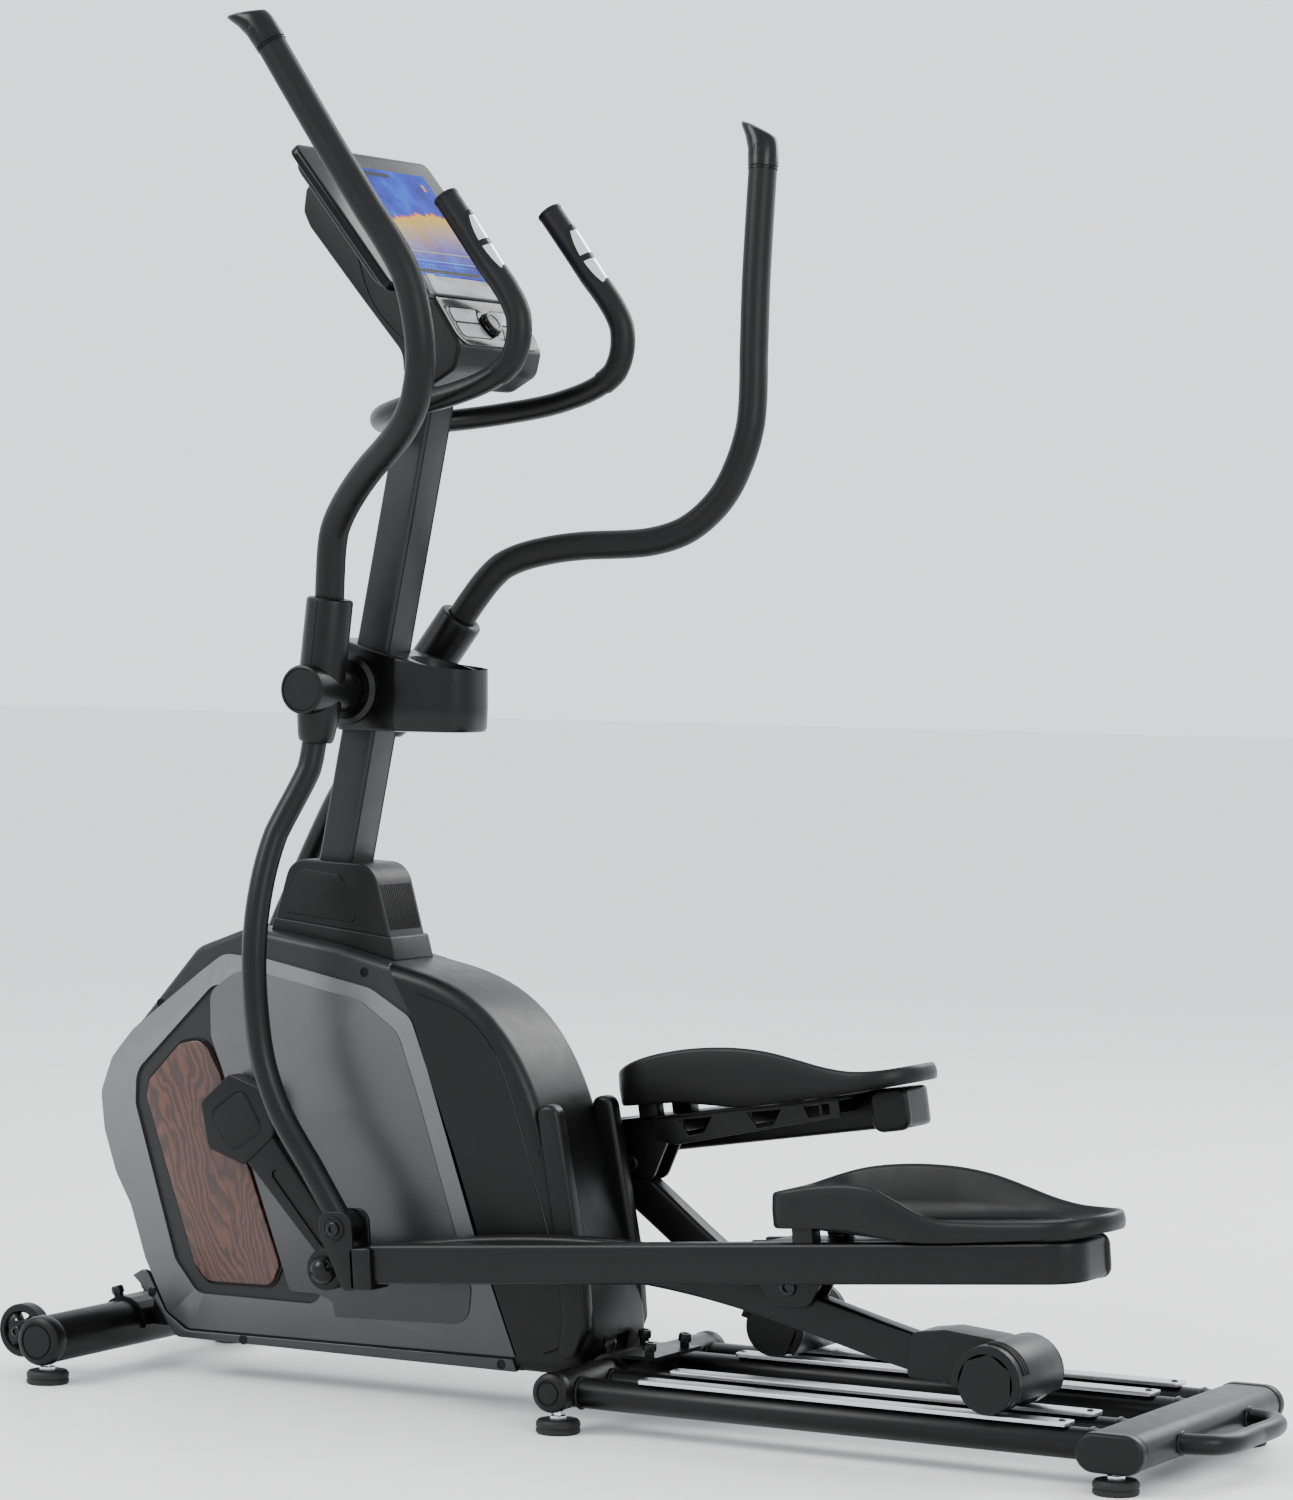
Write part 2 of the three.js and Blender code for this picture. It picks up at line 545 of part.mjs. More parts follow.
function buildConsole() {
  const tablet = onScreenPlane(box([-122, 112], [-160, 160], [-24, 0]));
  const pod = plate(roundShape([[-276, 1412, 0], [-245, 1402, 4], [-205, 1343, 10], [-212, 1312, 10],
    [-252, 1288, 16], [-290, 1294, 16], [-364, 1414, 40], [-436, 1498, 20], [-443, 1530, 14],
    [-410, 1562, 10]]), -104, 104);
  const pocketX = BUTTON.height / 2 + 0.5;
  const pocketY = BUTTON.width / 2 + 0.5;
  const pockets = BUTTONS.map(([, y, up]) => box([-up - pocketX, pocketX - up], [y - pocketY, y + pocketY],
    [-8, 20]));
  const well = new THREE.CylinderGeometry(17, 17, 28, 20);
  well.rotateX(Math.PI / 2);
  well.translate(0, 0, 9);
  const tools = [...pockets, toSolid(well)].map(onKeypad);
  addPart('console_body', cut(join([tablet, pod]), [...tools, mastBar(1180, MAST.top + 1, 0.6)]), blackPlastic);

  addPart('console_screen', onScreenPlane(box([-108, 96], [-148, 148], [GAP, 2.4])), screenGlass);

  BUTTONS.forEach(([place, y, up]) => {
    const button = box([-up - BUTTON.height / 2, -up + BUTTON.height / 2],
      [y - BUTTON.width / 2, y + BUTTON.width / 2], [BUTTON.proud - BUTTON.thick, BUTTON.proud]);
    addPart(`button_${place}`, onKeypad(button), greyPlastic);
  });
  const dial = new THREE.CylinderGeometry(15, 16, 14, 20);
  dial.rotateX(Math.PI / 2);
  dial.translate(0, 0, 2.5);
  addPart('console_knob', onKeypad(toSolid(dial)), blackPlastic);
}

// ---- Swing arms ----

const HANDLE_LINE = [[26, 110, 115], [34, 148, 118], [50, 197, 125], [88, 235, 141], [138, 267, 163],
  [198, 298, 190], [238, 334, 209], [260, 385, 222], [264, 432, 228], [256, 493, 232], [220, 571, 241],
  [177, 661, 251], [115, 800, 268]];
const LOWER_LINE = [[-16, -60, 115], [-25, -100, 122], [-65, -177, 151], [-84, -250, 172], [-95, -330, 184],
  [-99, -410, 185], [-95, -470, 185], [-76, -535, 185], [-42, -598, 185], [0, -680.6, 185]];

function buildSwingArm(sideName, s, pose) {
  const arm = frameAt(AXLE.x, AXLE.z, pose.swing);
  const line = LOWER_LINE.map(([x, z, y]) => [x, s * y, z]);
  const hub = join([
    barY(0, 0, 32, s * HUB_Y[0], s * HUB_Y[1], 22),
    rod([0, s * SLEEVE_Y, 0], [28, s * SLEEVE_Y, 116], 30, 30, 20),
    rod([-15.5, s * SLEEVE_Y, -66], [0, s * SLEEVE_Y, 0], 22, 30, 20),
    bentTube(line, 16, 15),
    barY(0, -SWING_R, 20.5, s * 168.5, s * 201.5),
  ]);
  const solid = cut(hub, [
    barY(0, 0, AXLE.r + 0.6, s * 50, s * (AXLE.end + 1)),
    barY(0, -SWING_R, 8.7, s * 150, s * 220),
    rod([24.3, s * SLEEVE_Y, 101.7], [40, s * SLEEVE_Y, 166], 20.6, 20.6, 20),
  ]);
  addPart(`swing_arm_${sideName}`, solid, powderCoat, arm);

  const tube = bentTube(HANDLE_LINE.map(([x, z, y]) => [x, s * y, z]), 19, 19);
  const end = [115, s * 268, 800];
  const cap = join([
    rod(end, [98, s * 270.5, 832], 19.6, 21, 12),
    rod([98, s * 270.5, 832], [66, s * 272, 851], 21, 11, 12),
  ]);
  addPart(`handlebar_${sideName}`, tube.add(cap), rubber, arm);
}

// ---- Pedal arms ----

function buildPedalArm(sideName, s, pose) {
  const arm = frameAt(pose.front.x, pose.front.z, pose.pedalTilt);
  const middle = (PEDAL_TUBE_Y[0] + PEDAL_TUBE_Y[1]) / 2;
  const [low, high] = [-71, -21];
  const [y0, y1] = PEDAL_TUBE_Y;
  const bend = roundShape([[46, s * y1, 0], [1010, s * y1, 66], [1010, s * 108, 0], [964, s * 108, 0],
    [964, s * y0, 30], [46, s * y0, 0]]);
  const ear = roundShape([[-22, 22, 20], [26, 22, 20], [26, -78, 2], [12, -78, 4], [-22, -8, 18]]);
  const gusset = roundShape([[560, -22, 10], [664, -22, 4], [664, -56, 14], [634, -104, 18], [586, -104, 20],
    [560, -66, 14]]);
  const pieces = [
    slab(bend, low, high, 6),
    box([22, 50], s < 0 ? [-208, -162] : [162, 208], [-78, -24]),
    barY(0, 0, 8, s * EAR_Y[0][0], s * EAR_Y[1][1], 24),
    barY(0, 0, 12, s * EAR_Y[1][1], s * (EAR_Y[1][1] + 4), 16),
    box([592, 664], s < 0 ? [-171, -107] : [107, 171], [-26, -21]),
    box([664, 930], s < 0 ? [-171, -76] : [76, 171], [-26, -21]),
  ];
  EAR_Y.forEach(([a, b]) => pieces.push(plate(ear, s * a, s * b)));
  GUSSET_Y.forEach(([a, b]) => pieces.push(plate(gusset, s * a, s * b)));
  [[103, 108], [150, 156]].forEach(([a, b]) => {
    pieces.push(barY(PEDAL_PIVOT.x, PEDAL_PIVOT.z, 11, s * a, s * b, 16));
  });
  [700, 800, 900].forEach((x) => {
    pieces.push(box([x, x + 5], s < 0 ? [-middle, -100] : [100, middle], [-44, -24]));
  });
  addPart(`pedal_arm_${sideName}`, join(pieces), powderCoat, arm);

  const plan = roundShape([[607, s * 54, 78], [1036, s * 54, 72], [1036, s * 204, 72], [607, s * 204, 45]]);
  const hollow = roundShape([[617, s * 64, 70], [1027, s * 63, 64], [1027, s * 195, 64],
    [617, s * 194, 38]]);
  const profile = roundShape([[600, -3, 0], [600, 39, 12], [675, 57, 50], [760, 60, 50], [840, 50, 40],
    [905, 27, 40], [955, 10, 30], [1045, 9, 0], [1045, -14, 0], [955, -18, 30], [905, -20.5, 30],
    [790, -20.5, 10], [730, -7, 30], [640, -3, 20]]);
  const tray = cut(slab(plan, -21, 70, 5).intersect(plate(profile, -220, 220, 4)), [slab(hollow, -8, 80, 5)]);
  const post = box([640, 668], s < 0 ? [-197, -173] : [173, 197], [-20.5, 4]);
  addPart(`pedal_${sideName}`, tray.add(post), rubber, arm);
}

// ---- Roller arms ----

function buildRollerArm(sideName, s, pose) {
  const arm = frameAt(pose.roller.x, pose.roller.z, pose.armTilt);
  const [a0, a1] = ROLLER_ARM_Y;
  const [f0, f1] = FORK_Y;
  const tip = -ROLLER_ARM.length;
  const line = [[tip, 0], [tip + 200, 44], [tip + 420, 68], [tip + 600, 55], [tip + 780, 22], [0, -6]];
  const underside = box([-60, 60], [s * 128.5 - 80, s * 128.5 + 80], [-60, -12]);
  const hood = cut(barY(0, 0, 45, s * f0, s * f1, 20), [
    barY(0, 0, 41, s * (f0 + 7), s * (f1 - 7), 20),
    box([-60, 60], s < 0 ? [7 - f1, -f0 - 7] : [f0 + 7, f1 - 7], [-60, -12]),
    underside.subtract(barY(0, 0, FORK_LOW_R, s * (f0 - 1), s * (f1 + 1), 20)),
  ]);
  const neck = roundShape([[-112, -16, 4], [-112, 44, 12], [-60, 48, 20], [0, 44, 0], [0, 40, 0],
    [-40, 2, 0]]);
  const pieces = [
    hood,
    plate(neck, s * 102, s * 156),
    plate(bandShape(line, 25, 10), s * a0, s * a1),
    barY(0, 0, 24, s * a0, s * a1),
    barY(ROLLER_ARM.pivotX, ROLLER_ARM.pivotZ, 20, s * a0, s * a1),
    barY(tip, 0, 27, s * (a0 - 1.5), s * (a1 + 2)),
    barY(tip, 0, 10, s * (CRANK_ARM_Y[1] + 0.8), s * a1, 20),
    barY(tip, 0, 12, s * a1, s * 150, 14),
  ];
  const ball = new THREE.SphereGeometry(18, 14, 8);
  ball.translate(tip, s * 147, 0);
  pieces.push(toSolid(ball));
  const wheels = ROLLER.ys.map((y) => barY(0, 0, 41, s * (y - 14), s * (y + 14), 20));
  const solid = cut(join(pieces), [...wheels, barY(0, 0, 13, s * 73, s * 184),
    barY(0, 0, 8.7, s * (f0 + 2), s * (f1 - 2), 20),
    barY(ROLLER_ARM.pivotX, ROLLER_ARM.pivotZ, 9, s * 100, s * 160)]);
  addPart(`roller_arm_${sideName}`, solid, powderCoat, arm);

  const axle = barY(0, 0, 8, s * (f0 + 2.5), s * (f1 - 2.5), 20);
  addPart(`roller_axle_${sideName}`, axle, steel, arm);
  const { r, half } = ROLLER;
  const profile = [[0, -half], [r - 3, -half], [r, 3 - half], [r, half - 3], [r - 3, half], [0, half]];
  const wheel = new THREE.LatheGeometry(profile.map((p) => new THREE.Vector2(...p)), 24);
  const tyres = ROLLER.ys.map((y) => toSolid(wheel.clone()).translate([0, s * y, 0]));
  const spacer = barY(0, 0, 12, s * ROLLER.ys[0], s * ROLLER.ys[1]);
  const pair = cut(join([...tyres, spacer]), [barY(0, 0, 8.7, s * 60, s * 200, 20)]);
  addPart(`roller_pair_${sideName}`, pair, blackPlastic, arm);
}

// ---- The whole machine ----

buildFrontStabilizer();
buildRearFrame();
buildFeet();
buildMainFrame();
buildDrive();
buildHousing();
buildMast();
buildBottleHolder();
buildFixedHandlebar();
buildConsole();
SIDES.forEach(([sideName, s]) => {
  const angle = s === LEFT ? CRANK.angle : CRANK.angle + Math.PI;
  const pose = solveSide(angle);
  buildTransportWheel(`transport_wheel_${sideName}`, s);
  buildCrankArm(`crank_arm_${sideName}`, s, angle);
  buildSwingArm(sideName, s, pose);
  buildPedalArm(sideName, s, pose);
  buildRollerArm(sideName, s, pose);
});

export default trainer;
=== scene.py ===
"""Looks of the elliptical trainer. Lengths in the shape code are millimetres in the CAD model's frame."""
import math

import bmesh
import bpy
from mathutils import Matrix, Vector


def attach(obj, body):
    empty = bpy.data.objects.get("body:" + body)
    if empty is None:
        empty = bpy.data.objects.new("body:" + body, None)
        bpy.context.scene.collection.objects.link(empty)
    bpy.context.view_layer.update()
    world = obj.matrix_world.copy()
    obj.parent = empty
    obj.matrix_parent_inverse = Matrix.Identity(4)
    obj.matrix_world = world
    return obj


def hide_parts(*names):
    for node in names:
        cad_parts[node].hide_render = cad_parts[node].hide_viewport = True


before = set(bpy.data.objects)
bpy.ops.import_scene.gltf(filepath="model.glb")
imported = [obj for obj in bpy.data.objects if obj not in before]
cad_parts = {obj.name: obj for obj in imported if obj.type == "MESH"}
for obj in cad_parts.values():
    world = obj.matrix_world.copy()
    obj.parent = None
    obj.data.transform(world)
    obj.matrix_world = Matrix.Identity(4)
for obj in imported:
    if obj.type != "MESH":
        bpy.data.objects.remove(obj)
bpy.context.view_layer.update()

MM = 0.001
PI = math.pi
SIDES = {
    "left": {"s": -1, "swing": -0.127095, "front": (-315.732, 230.890), "pedal": -0.077097,
             "roller": (577.857, 112.0), "arm": 0.059747, "crank": -0.838},
    "right": {"s": 1, "swing": 0.414606, "front": (-676.166, 283.063), "pedal": -0.156364,
              "roller": (163.569, 112.0), "arm": 0.451226, "crank": -0.838 + PI},
}

BOTH = [(side, data["s"]) for side, data in SIDES.items()]

# Axes that several pieces share, as (x, z).
CRANK_AXIS = (-529, 347)
SWING_AXIS = (-402, 906)
WHEEL_AXIS = (-820, 57)

# ---- Materials ----


def ramp(tree, factor, stops):
    node = tree.nodes.new("ShaderNodeValToRGB")
    node.color_ramp.elements[0].position, node.color_ramp.elements[0].color = stops[0][0], (*stops[0][1], 1)
    node.color_ramp.elements[1].position, node.color_ramp.elements[1].color = stops[-1][0], (*stops[-1][1], 1)
    for place, color in stops[1:-1]:
        node.color_ramp.elements.new(place).color = (*color, 1)
    link(tree, factor, node.inputs[0])
    return node.outputs[0]


def noise(tree, vector, scale, detail=3.0, rough=0.5):
    node = tree.nodes.new("ShaderNodeTexNoise")
    node.inputs["Scale"].default_value = scale
    node.inputs["Detail"].default_value = detail
    node.inputs["Roughness"].default_value = rough
    tree.links.new(vector, node.inputs["Vector"])
    return Field(tree, node.outputs["Fac"])


class Field:
    """A number that varies over a surface, so that sums of such numbers read as sums."""

    def __init__(self, tree, socket):
        self.tree, self.socket = tree, socket

    def made(self, kind, a, b=0.0):
        node = self.tree.nodes.new("ShaderNodeMath")
        node.operation = kind
        for socket, value in zip(node.inputs, (a, b)):
            if isinstance(value, Field):
                self.tree.links.new(value.socket, socket)
            else:
                socket.default_value = value
        return Field(self.tree, node.outputs[0])

    def __add__(self, other):
        return self.made("ADD", self, other)

    def __sub__(self, other):
        return self.made("SUBTRACT", self, other)

    def __rsub__(self, other):
        return self.made("SUBTRACT", other, self)

    def __mul__(self, other):
        return self.made("MULTIPLY", self, other)

    def __abs__(self):
        return self.made("ABSOLUTE", self)

    def __gt__(self, other):
        return self.made("GREATER_THAN", self, other)

    def __lt__(self, other):
        return self.made("LESS_THAN", self, other)


def link(tree, value, socket):
    tree.links.new(value.socket if isinstance(value, Field) else value, socket)


def started(name):
    """A new node material: itself, its tree, its shader and the object's own coordinates."""
    made = bpy.data.materials.new(name)
    made.use_nodes = True
    tree = made.node_tree
    return made, tree, tree.nodes["Principled BSDF"], tree.nodes.new("ShaderNodeTexCoord").outputs["Object"]


def parts_of(tree, vector):
    split = tree.nodes.new("ShaderNodeSeparateXYZ")
    tree.links.new(vector, split.inputs[0])
    return [Field(tree, socket) for socket in split.outputs]


def embossed(tree, shader, height, strength, distance):
    relief = tree.nodes.new("ShaderNodeBump")
    relief.inputs["Strength"].default_value = strength
    relief.inputs["Distance"].default_value = distance
    link(tree, height, relief.inputs["Height"])
    tree.links.new(relief.outputs[0], shader.inputs["Normal"])


def mapped(tree, vector, scale=(1, 1, 1), turn=(0, 0, 0), move=(0, 0, 0)):
    node = tree.nodes.new("ShaderNodeMapping")
    node.inputs["Scale"].default_value = scale
    node.inputs["Rotation"].default_value = turn
    node.inputs["Location"].default_value = move
    tree.links.new(vector, node.inputs["Vector"])
    return node.outputs[0]


def painted_shade_gradient(tree, color):
    """Painted shade and highlight on silver paint: darker towards the floor and the rear, lighter towards the
    top front.
    """
    coords = tree.nodes.new("ShaderNodeTexCoord").outputs["Object"]
    x, _, z = parts_of(tree, coords)
    lean = z - x * 0.35
    shade = ramp(tree, lean, [(0.24, (0.42, 0.42, 0.42)), (0.4, (0.7, 0.7, 0.7)), (0.66, (1.1, 1.1, 1.1))])
    node = tree.nodes.new("ShaderNodeMix")
    node.data_type, node.blend_type = "RGBA", "MULTIPLY"
    node.inputs["Factor"].default_value = 1.0
    tree.links.new(color, node.inputs["A"])
    tree.links.new(shade, node.inputs["B"])
    return node.outputs["Result"]


def material(name, color, rough, metal=0.0, grain=900.0, bump=0.08, vary=0.18, rough_vary=0.08,
             stretch=(1, 1, 1), patch=9.0, sheen=0.5, fade=False):
    """A painted or moulded surface: mottled colour, uneven gloss and a fine grain in the bump."""
    made, tree, shader, coords = started(name)
    where = mapped(tree, coords, stretch)
    low = [c * (1 - vary) for c in color]
    high = [min(1.0, c * (1 + vary)) for c in color]
    paint = ramp(tree, noise(tree, where, patch, 6.0), [(0.3, low), (0.7, high)])
    # With fade set, the colour takes painted shade low down and a painted highlight high up.
    tree.links.new(painted_shade_gradient(tree, paint) if fade else paint, shader.inputs["Base Color"])
    gloss = noise(tree, where, patch * 5, 4.0) * (2 * rough_vary)
    link(tree, gloss + (rough - rough_vary), shader.inputs["Roughness"])
    shader.inputs["Metallic"].default_value = metal
    shader.inputs["Specular IOR Level"].default_value = sheen
    embossed(tree, shader, noise(tree, where, grain, 2.0), bump, 0.0006)
    return made


POWDER = material("satin_powder_coat", (0.0021, 0.0021, 0.0022), 0.34, grain=1500, bump=0.08,
    sheen=0.2)
POWDER_GREY = material("graphite_powder_coat", (0.0125, 0.0127, 0.0132), 0.4, metal=0.25,
    grain=1600, bump=0.08, sheen=0.25)
PLASTIC = material("fine_grained_plastic", (0.0021, 0.0021, 0.0022), 0.4, grain=1900,
    bump=0.1, sheen=0.2)
SMOOTH_PLASTIC = material("smooth_plastic", (0.0018, 0.0018, 0.0019), 0.25, grain=700,
    bump=0.02, sheen=0.22)
GLOSS_BLACK = material("gloss_black", (0.001, 0.001, 0.0011), 0.14, grain=300, bump=0.01,
    rough_vary=0.03, sheen=0.16)
GRIP = material("handle_rubber", (0.0022, 0.0022, 0.0023), 0.45, grain=1300, bump=0.07,
    sheen=0.2)
FOOT_RUBBER = material("foot_rubber", (0.006, 0.006, 0.006), 0.6, grain=800, bump=0.25,
    sheen=0.3)
# One silver paint in two copies: a lighter copy for the band as a painted highlight, a darker copy for the
# field and skirt as painted shade. Both also take the painted shade gradient.
SILVER_WITH_PAINTED_HIGHLIGHT = material("silver_paint_with_painted_highlight", fade=True, color=(0.135, 0.137, 0.14), rough=0.33,
    metal=0.75, grain=3200, bump=0.04, vary=0.05, rough_vary=0.04)
SILVER_WITH_PAINTED_SHADE = material("silver_paint_with_painted_shade", fade=True, color=(0.083, 0.0845, 0.086),
    rough=0.33, metal=0.75, grain=3200, bump=0.04, vary=0.06, rough_vary=0.04)
DARK_SILVER = material("dark_silver_paint", (0.018, 0.0182, 0.0186), 0.4, metal=0.35,
    grain=3000, bump=0.06, vary=0.08, sheen=0.25)
BAND = material("band_plastic", (0.002, 0.002, 0.0021), 0.36, grain=2600, bump=0.06,
    vary=0.12, sheen=0.2)
GREY = material("satin_grey", (0.12, 0.122, 0.125), 0.36, metal=0.35, grain=1500, bump=0.05,
    vary=0.08)
CHROME = material("bright_steel", (0.62, 0.63, 0.64), 0.2, metal=1.0, grain=1200, bump=0.05,
    vary=0.06)
STEEL = material("turned_steel", (0.34, 0.35, 0.36), 0.32, metal=1.0, grain=1200, bump=0.1,
    stretch=(1, 9, 1))
BLACK_SCREW = material("blackened_steel", (0.012, 0.012, 0.0125), 0.26, metal=0.6, grain=900,
    bump=0.08, sheen=0.4)
BRUSHED = material("brushed_aluminium", (0.52, 0.53, 0.55), 0.3, metal=1.0, grain=420,
    bump=0.3, vary=0.1, rough_vary=0.1, stretch=(0.02, 3, 3), patch=60.0)


def walnut():
    made, tree, shader, coords = started("dark_walnut")
    along = mapped(tree, coords, (1, 1, 1), (0, 0.36, 0))
    warp = noise(tree, mapped(tree, along, (5, 3, 1.8)), 2.2, 4.0)
    offset = tree.nodes.new("ShaderNodeVectorMath")
    offset.operation = "SCALE"
    tree.links.new(along, offset.inputs[0])
    link(tree, warp * 0.5 + 0.8, offset.inputs["Scale"])
    rings = tree.nodes.new("ShaderNodeTexWave")
    rings.wave_type, rings.bands_direction = "BANDS", "X"
    for socket, value in (("Scale", 24.0), ("Distortion", 5.5), ("Detail", 4.0), ("Detail Scale", 1.3)):
        rings.inputs[socket].default_value = value
    tree.links.new(mapped(tree, offset.outputs[0], (1, 0.5, 0.16)), rings.inputs["Vector"])
    pores = noise(tree, mapped(tree, along, (420, 300, 14)), 2.0, 3.0, 0.7)
    blend = Field(tree, rings.outputs["Fac"]) * 0.42 + pores * 0.62
    color = ramp(tree, blend, [(0.2, (0.009, 0.0032, 0.002)), (0.42, (0.025, 0.008, 0.004)),
        (0.62, (0.046, 0.014, 0.0068)), (0.9, (0.082, 0.027, 0.013))])
    tree.links.new(color, shader.inputs["Base Color"])
    shader.inputs["Roughness"].default_value = 0.42
    shader.inputs["Coat Weight"].default_value = 0.12
    embossed(tree, shader, pores, 0.25, 0.0004)
    return made


SCREEN_AT = (-345, 1503)
SCREEN_TILT = 0.89


def mixed(tree, factor, base, tint):
    node = tree.nodes.new("ShaderNodeMix")
    node.data_type = "RGBA"
    node.inputs["B"].default_value = (*tint, 1)
    link(tree, factor, node.inputs["Factor"])
    tree.links.new(base, node.inputs["A"])
    return node.outputs["Result"]


def window(value, low, high):
    """One between two values and nothing outside them."""
    return (value > low) * (value < high)


def display():
    """A lit screen: blue clouds, a yellow graph that climbs to a peak, thin lines and rows of small marks."""
    made, tree, shader, coords = started("lit_display")
    moved = mapped(tree, coords, move=(-SCREEN_AT[0] * MM, 0, -SCREEN_AT[1] * MM))
    flat = mapped(tree, moved, turn=(0, -SCREEN_TILT, 0))
    down, across, _ = parts_of(tree, flat)

    def joined(*parts):
        node = tree.nodes.new("ShaderNodeCombineXYZ")
        for part, socket in zip(parts, node.inputs):
            link(tree, part, socket)
        return node.outputs[0]

    clouds = noise(tree, flat, 17.0, 7.0, 0.62)
    blue = ramp(tree, clouds, [(0.34, (0.0, 0.008, 0.3)), (0.5, (0.0, 0.04, 0.75)), (0.62, (0.0, 0.14, 1.0)),
        (0.78, (0.04, 0.42, 1.0))])
    jag = noise(tree, joined(across), 46.0, 6.0, 0.75)
    below = down - (abs(across - 0.072) * 0.14 - jag * 0.05)
    inside = (below > 0.0) * (down < 0.06)
    fade = below.made("MAXIMUM", 1.0 - below * 13.0, 0.1)
    marks = tree.nodes.new("ShaderNodeTexBrick")
    for socket, value in (("Scale", 60.0), ("Mortar Size", 0.1), ("Color1", (0, 0, 0, 1)),
                          ("Color2", (1, 1, 1, 1)),
                          ("Mortar", (0, 0, 0, 1))):
        marks.inputs[socket].default_value = value
    tree.links.new(joined(across, down), marks.inputs["Vector"])
    spots = Field(tree, marks.outputs["Color"])
    bar = window(down, 0.0765, 0.0835)
    glow = blue
    for where, tint in ((inside * fade, (1.0, 0.66, 0.0)),
                        (abs(below) < 0.0011, (0.8, 0.03, 0.12)),
                        (abs(down - 0.046) < 0.0006, (0.75, 0.8, 0.1)),
                        (abs(down - 0.062) < 0.0006, (0.3, 0.65, 0.95)),
                        (spots * window(down, 0.067, 0.072) * 0.7, (0.95, 0.6, 0.2)),
                        (bar * window(across, -0.09, 0.09), (0.03, 0.035, 0.045)),
                        (bar * spots * 0.5, (0.5, 0.55, 0.6)),
                        (window(down, -0.089, -0.082) * window(across, -0.03, 0.03), (0.03, 0.03, 0.035)),
                        (window(down, -0.078, -0.066) * window(across, 0.1, 0.107), (1.0, 0.36, 0.02))):
        glow = mixed(tree, where, glow, tint)
    shader.inputs["Base Color"].default_value = (0.004, 0.005, 0.008, 1)
    tree.links.new(glow, shader.inputs["Emission Color"])
    shader.inputs["Emission Strength"].default_value = 0.95
    shader.inputs["Specular IOR Level"].default_value = 0.02
    shader.inputs["Roughness"].default_value = 0.3
    return made


WALNUT = walnut()
DISPLAY = display()

# ---- Shapes ----


def rounded(points, steps=5):
    """An outline with round corners: each point is (u, v) or (u, v, radius)."""
    made = []
    for i, point in enumerate(points):
        here = Vector(point[:2])
        before = (Vector(points[i - 1][:2]) - here)
        after = (Vector(points[(i + 1) % len(points)][:2]) - here)
        radius = point[2] if len(point) > 2 else 0
        if radius <= 0:
            made.append(here)
            continue
        half = before.angle(after) / 2
        back = min(radius / math.tan(half), before.length * 0.49, after.length * 0.49)
        a, b = here + before.normalized() * back, here + after.normalized() * back
        for k in range(steps + 1):
            t = k / steps
            bulge = 1 + 0.16 * math.sin(PI * t)
            w = [(1 - t) ** 2, 2 * t * (1 - t) / bulge, t * t]
            made.append((a * w[0] + here * w[1] + b * w[2]) / sum(w))
    return made


def grown(outline, distance):
    """The outline moved outward by a distance, or inward if it is negative."""
    count = len(outline)
    area = sum(outline[i - 1].cross(outline[i]) for i in range(count))
    sign = 1 if area > 0 else -1
    made = []
    for i in range(count):
        ahead = (outline[(i + 1) % count] - outline[i]).normalized()
        behind = (outline[i] - outline[i - 1]).normalized()
        normal = Vector((ahead.y + behind.y, -ahead.x - behind.x)).normalized() * sign
        cos = max(0.35, normal.dot(Vector((ahead.y, -ahead.x)) * sign))
        made.append(outline[i] + normal * distance / cos)
    return made


PLANES = {"XZ": lambda u, v, w: (u, w, v), "XY": lambda u, v, w: (u, v, w), "YZ": lambda u, v, w: (w, u, v)}


def oblong(u, v, radius=0.0):
    """The corners of a rectangle about the origin, from its half widths."""
    return [(-u, -v, radius), (u, -v, radius), (u, v, radius), (-u, v, radius)]


def circle(r, at=(0, 0), way=1):
    return [Vector((at[0] + r * math.cos(way * a * PI / 12), at[1] + r * math.sin(way * a * PI / 12)))
            for a in range(24)]


def prism(outline, w0, w1, edge=1.5, plane="XZ", holes=(), segments=3):
    """An outline drawn in a plane and given a thickness, with its rims rounded."""
    bm = bmesh.new()
    place = PLANES[plane]
    sides = []
    for loop in [outline, *holes]:
        verts = [bm.verts.new(place(p[0], p[1], w0)) for p in loop]
        sides += [bm.edges.new((verts[i - 1], verts[i])) for i in range(len(verts))]
    if holes:
        bmesh.ops.triangle_fill(bm, edges=sides, use_beauty=True)
    else:
        bmesh.ops.edgenet_fill(bm, edges=sides)
    grown_part = bmesh.ops.extrude_face_region(bm, geom=bm.faces[:])["geom"]
    shift = Vector(place(0, 0, w1)) - Vector(place(0, 0, w0))
    bmesh.ops.translate(bm, vec=shift, verts=[g for g in grown_part if isinstance(g, bmesh.types.BMVert)])
    bmesh.ops.recalc_face_normals(bm, faces=bm.faces)
    if edge > 0:
        across = Vector(place(0, 0, 1))
        rims = [e for e in bm.edges if len(e.link_faces) == 2 and e.calc_face_angle(0.0) > 0.9
                and abs((e.verts[0].co - e.verts[1].co).dot(across)) < 1e-4]
        bmesh.ops.bevel(bm, geom=rims, offset=edge, segments=segments, profile=0.5, affect="EDGES",
            clamp_overlap=True)
    return bm


def block(x, y, z, edge=1.0, segments=2):
    """A box between pairs of bounds with every edge rounded."""
    bm = bmesh.new()
    bmesh.ops.create_cube(bm, size=1)
    for v in bm.verts:
        v.co = Vector([(lo + hi) / 2 + c * abs(hi - lo) for (lo, hi), c in zip((x, y, z), v.co)])
    bmesh.ops.bevel(bm, geom=bm.edges[:], offset=edge, segments=segments, profile=0.5, affect="EDGES",
        clamp_overlap=True)
    return bm


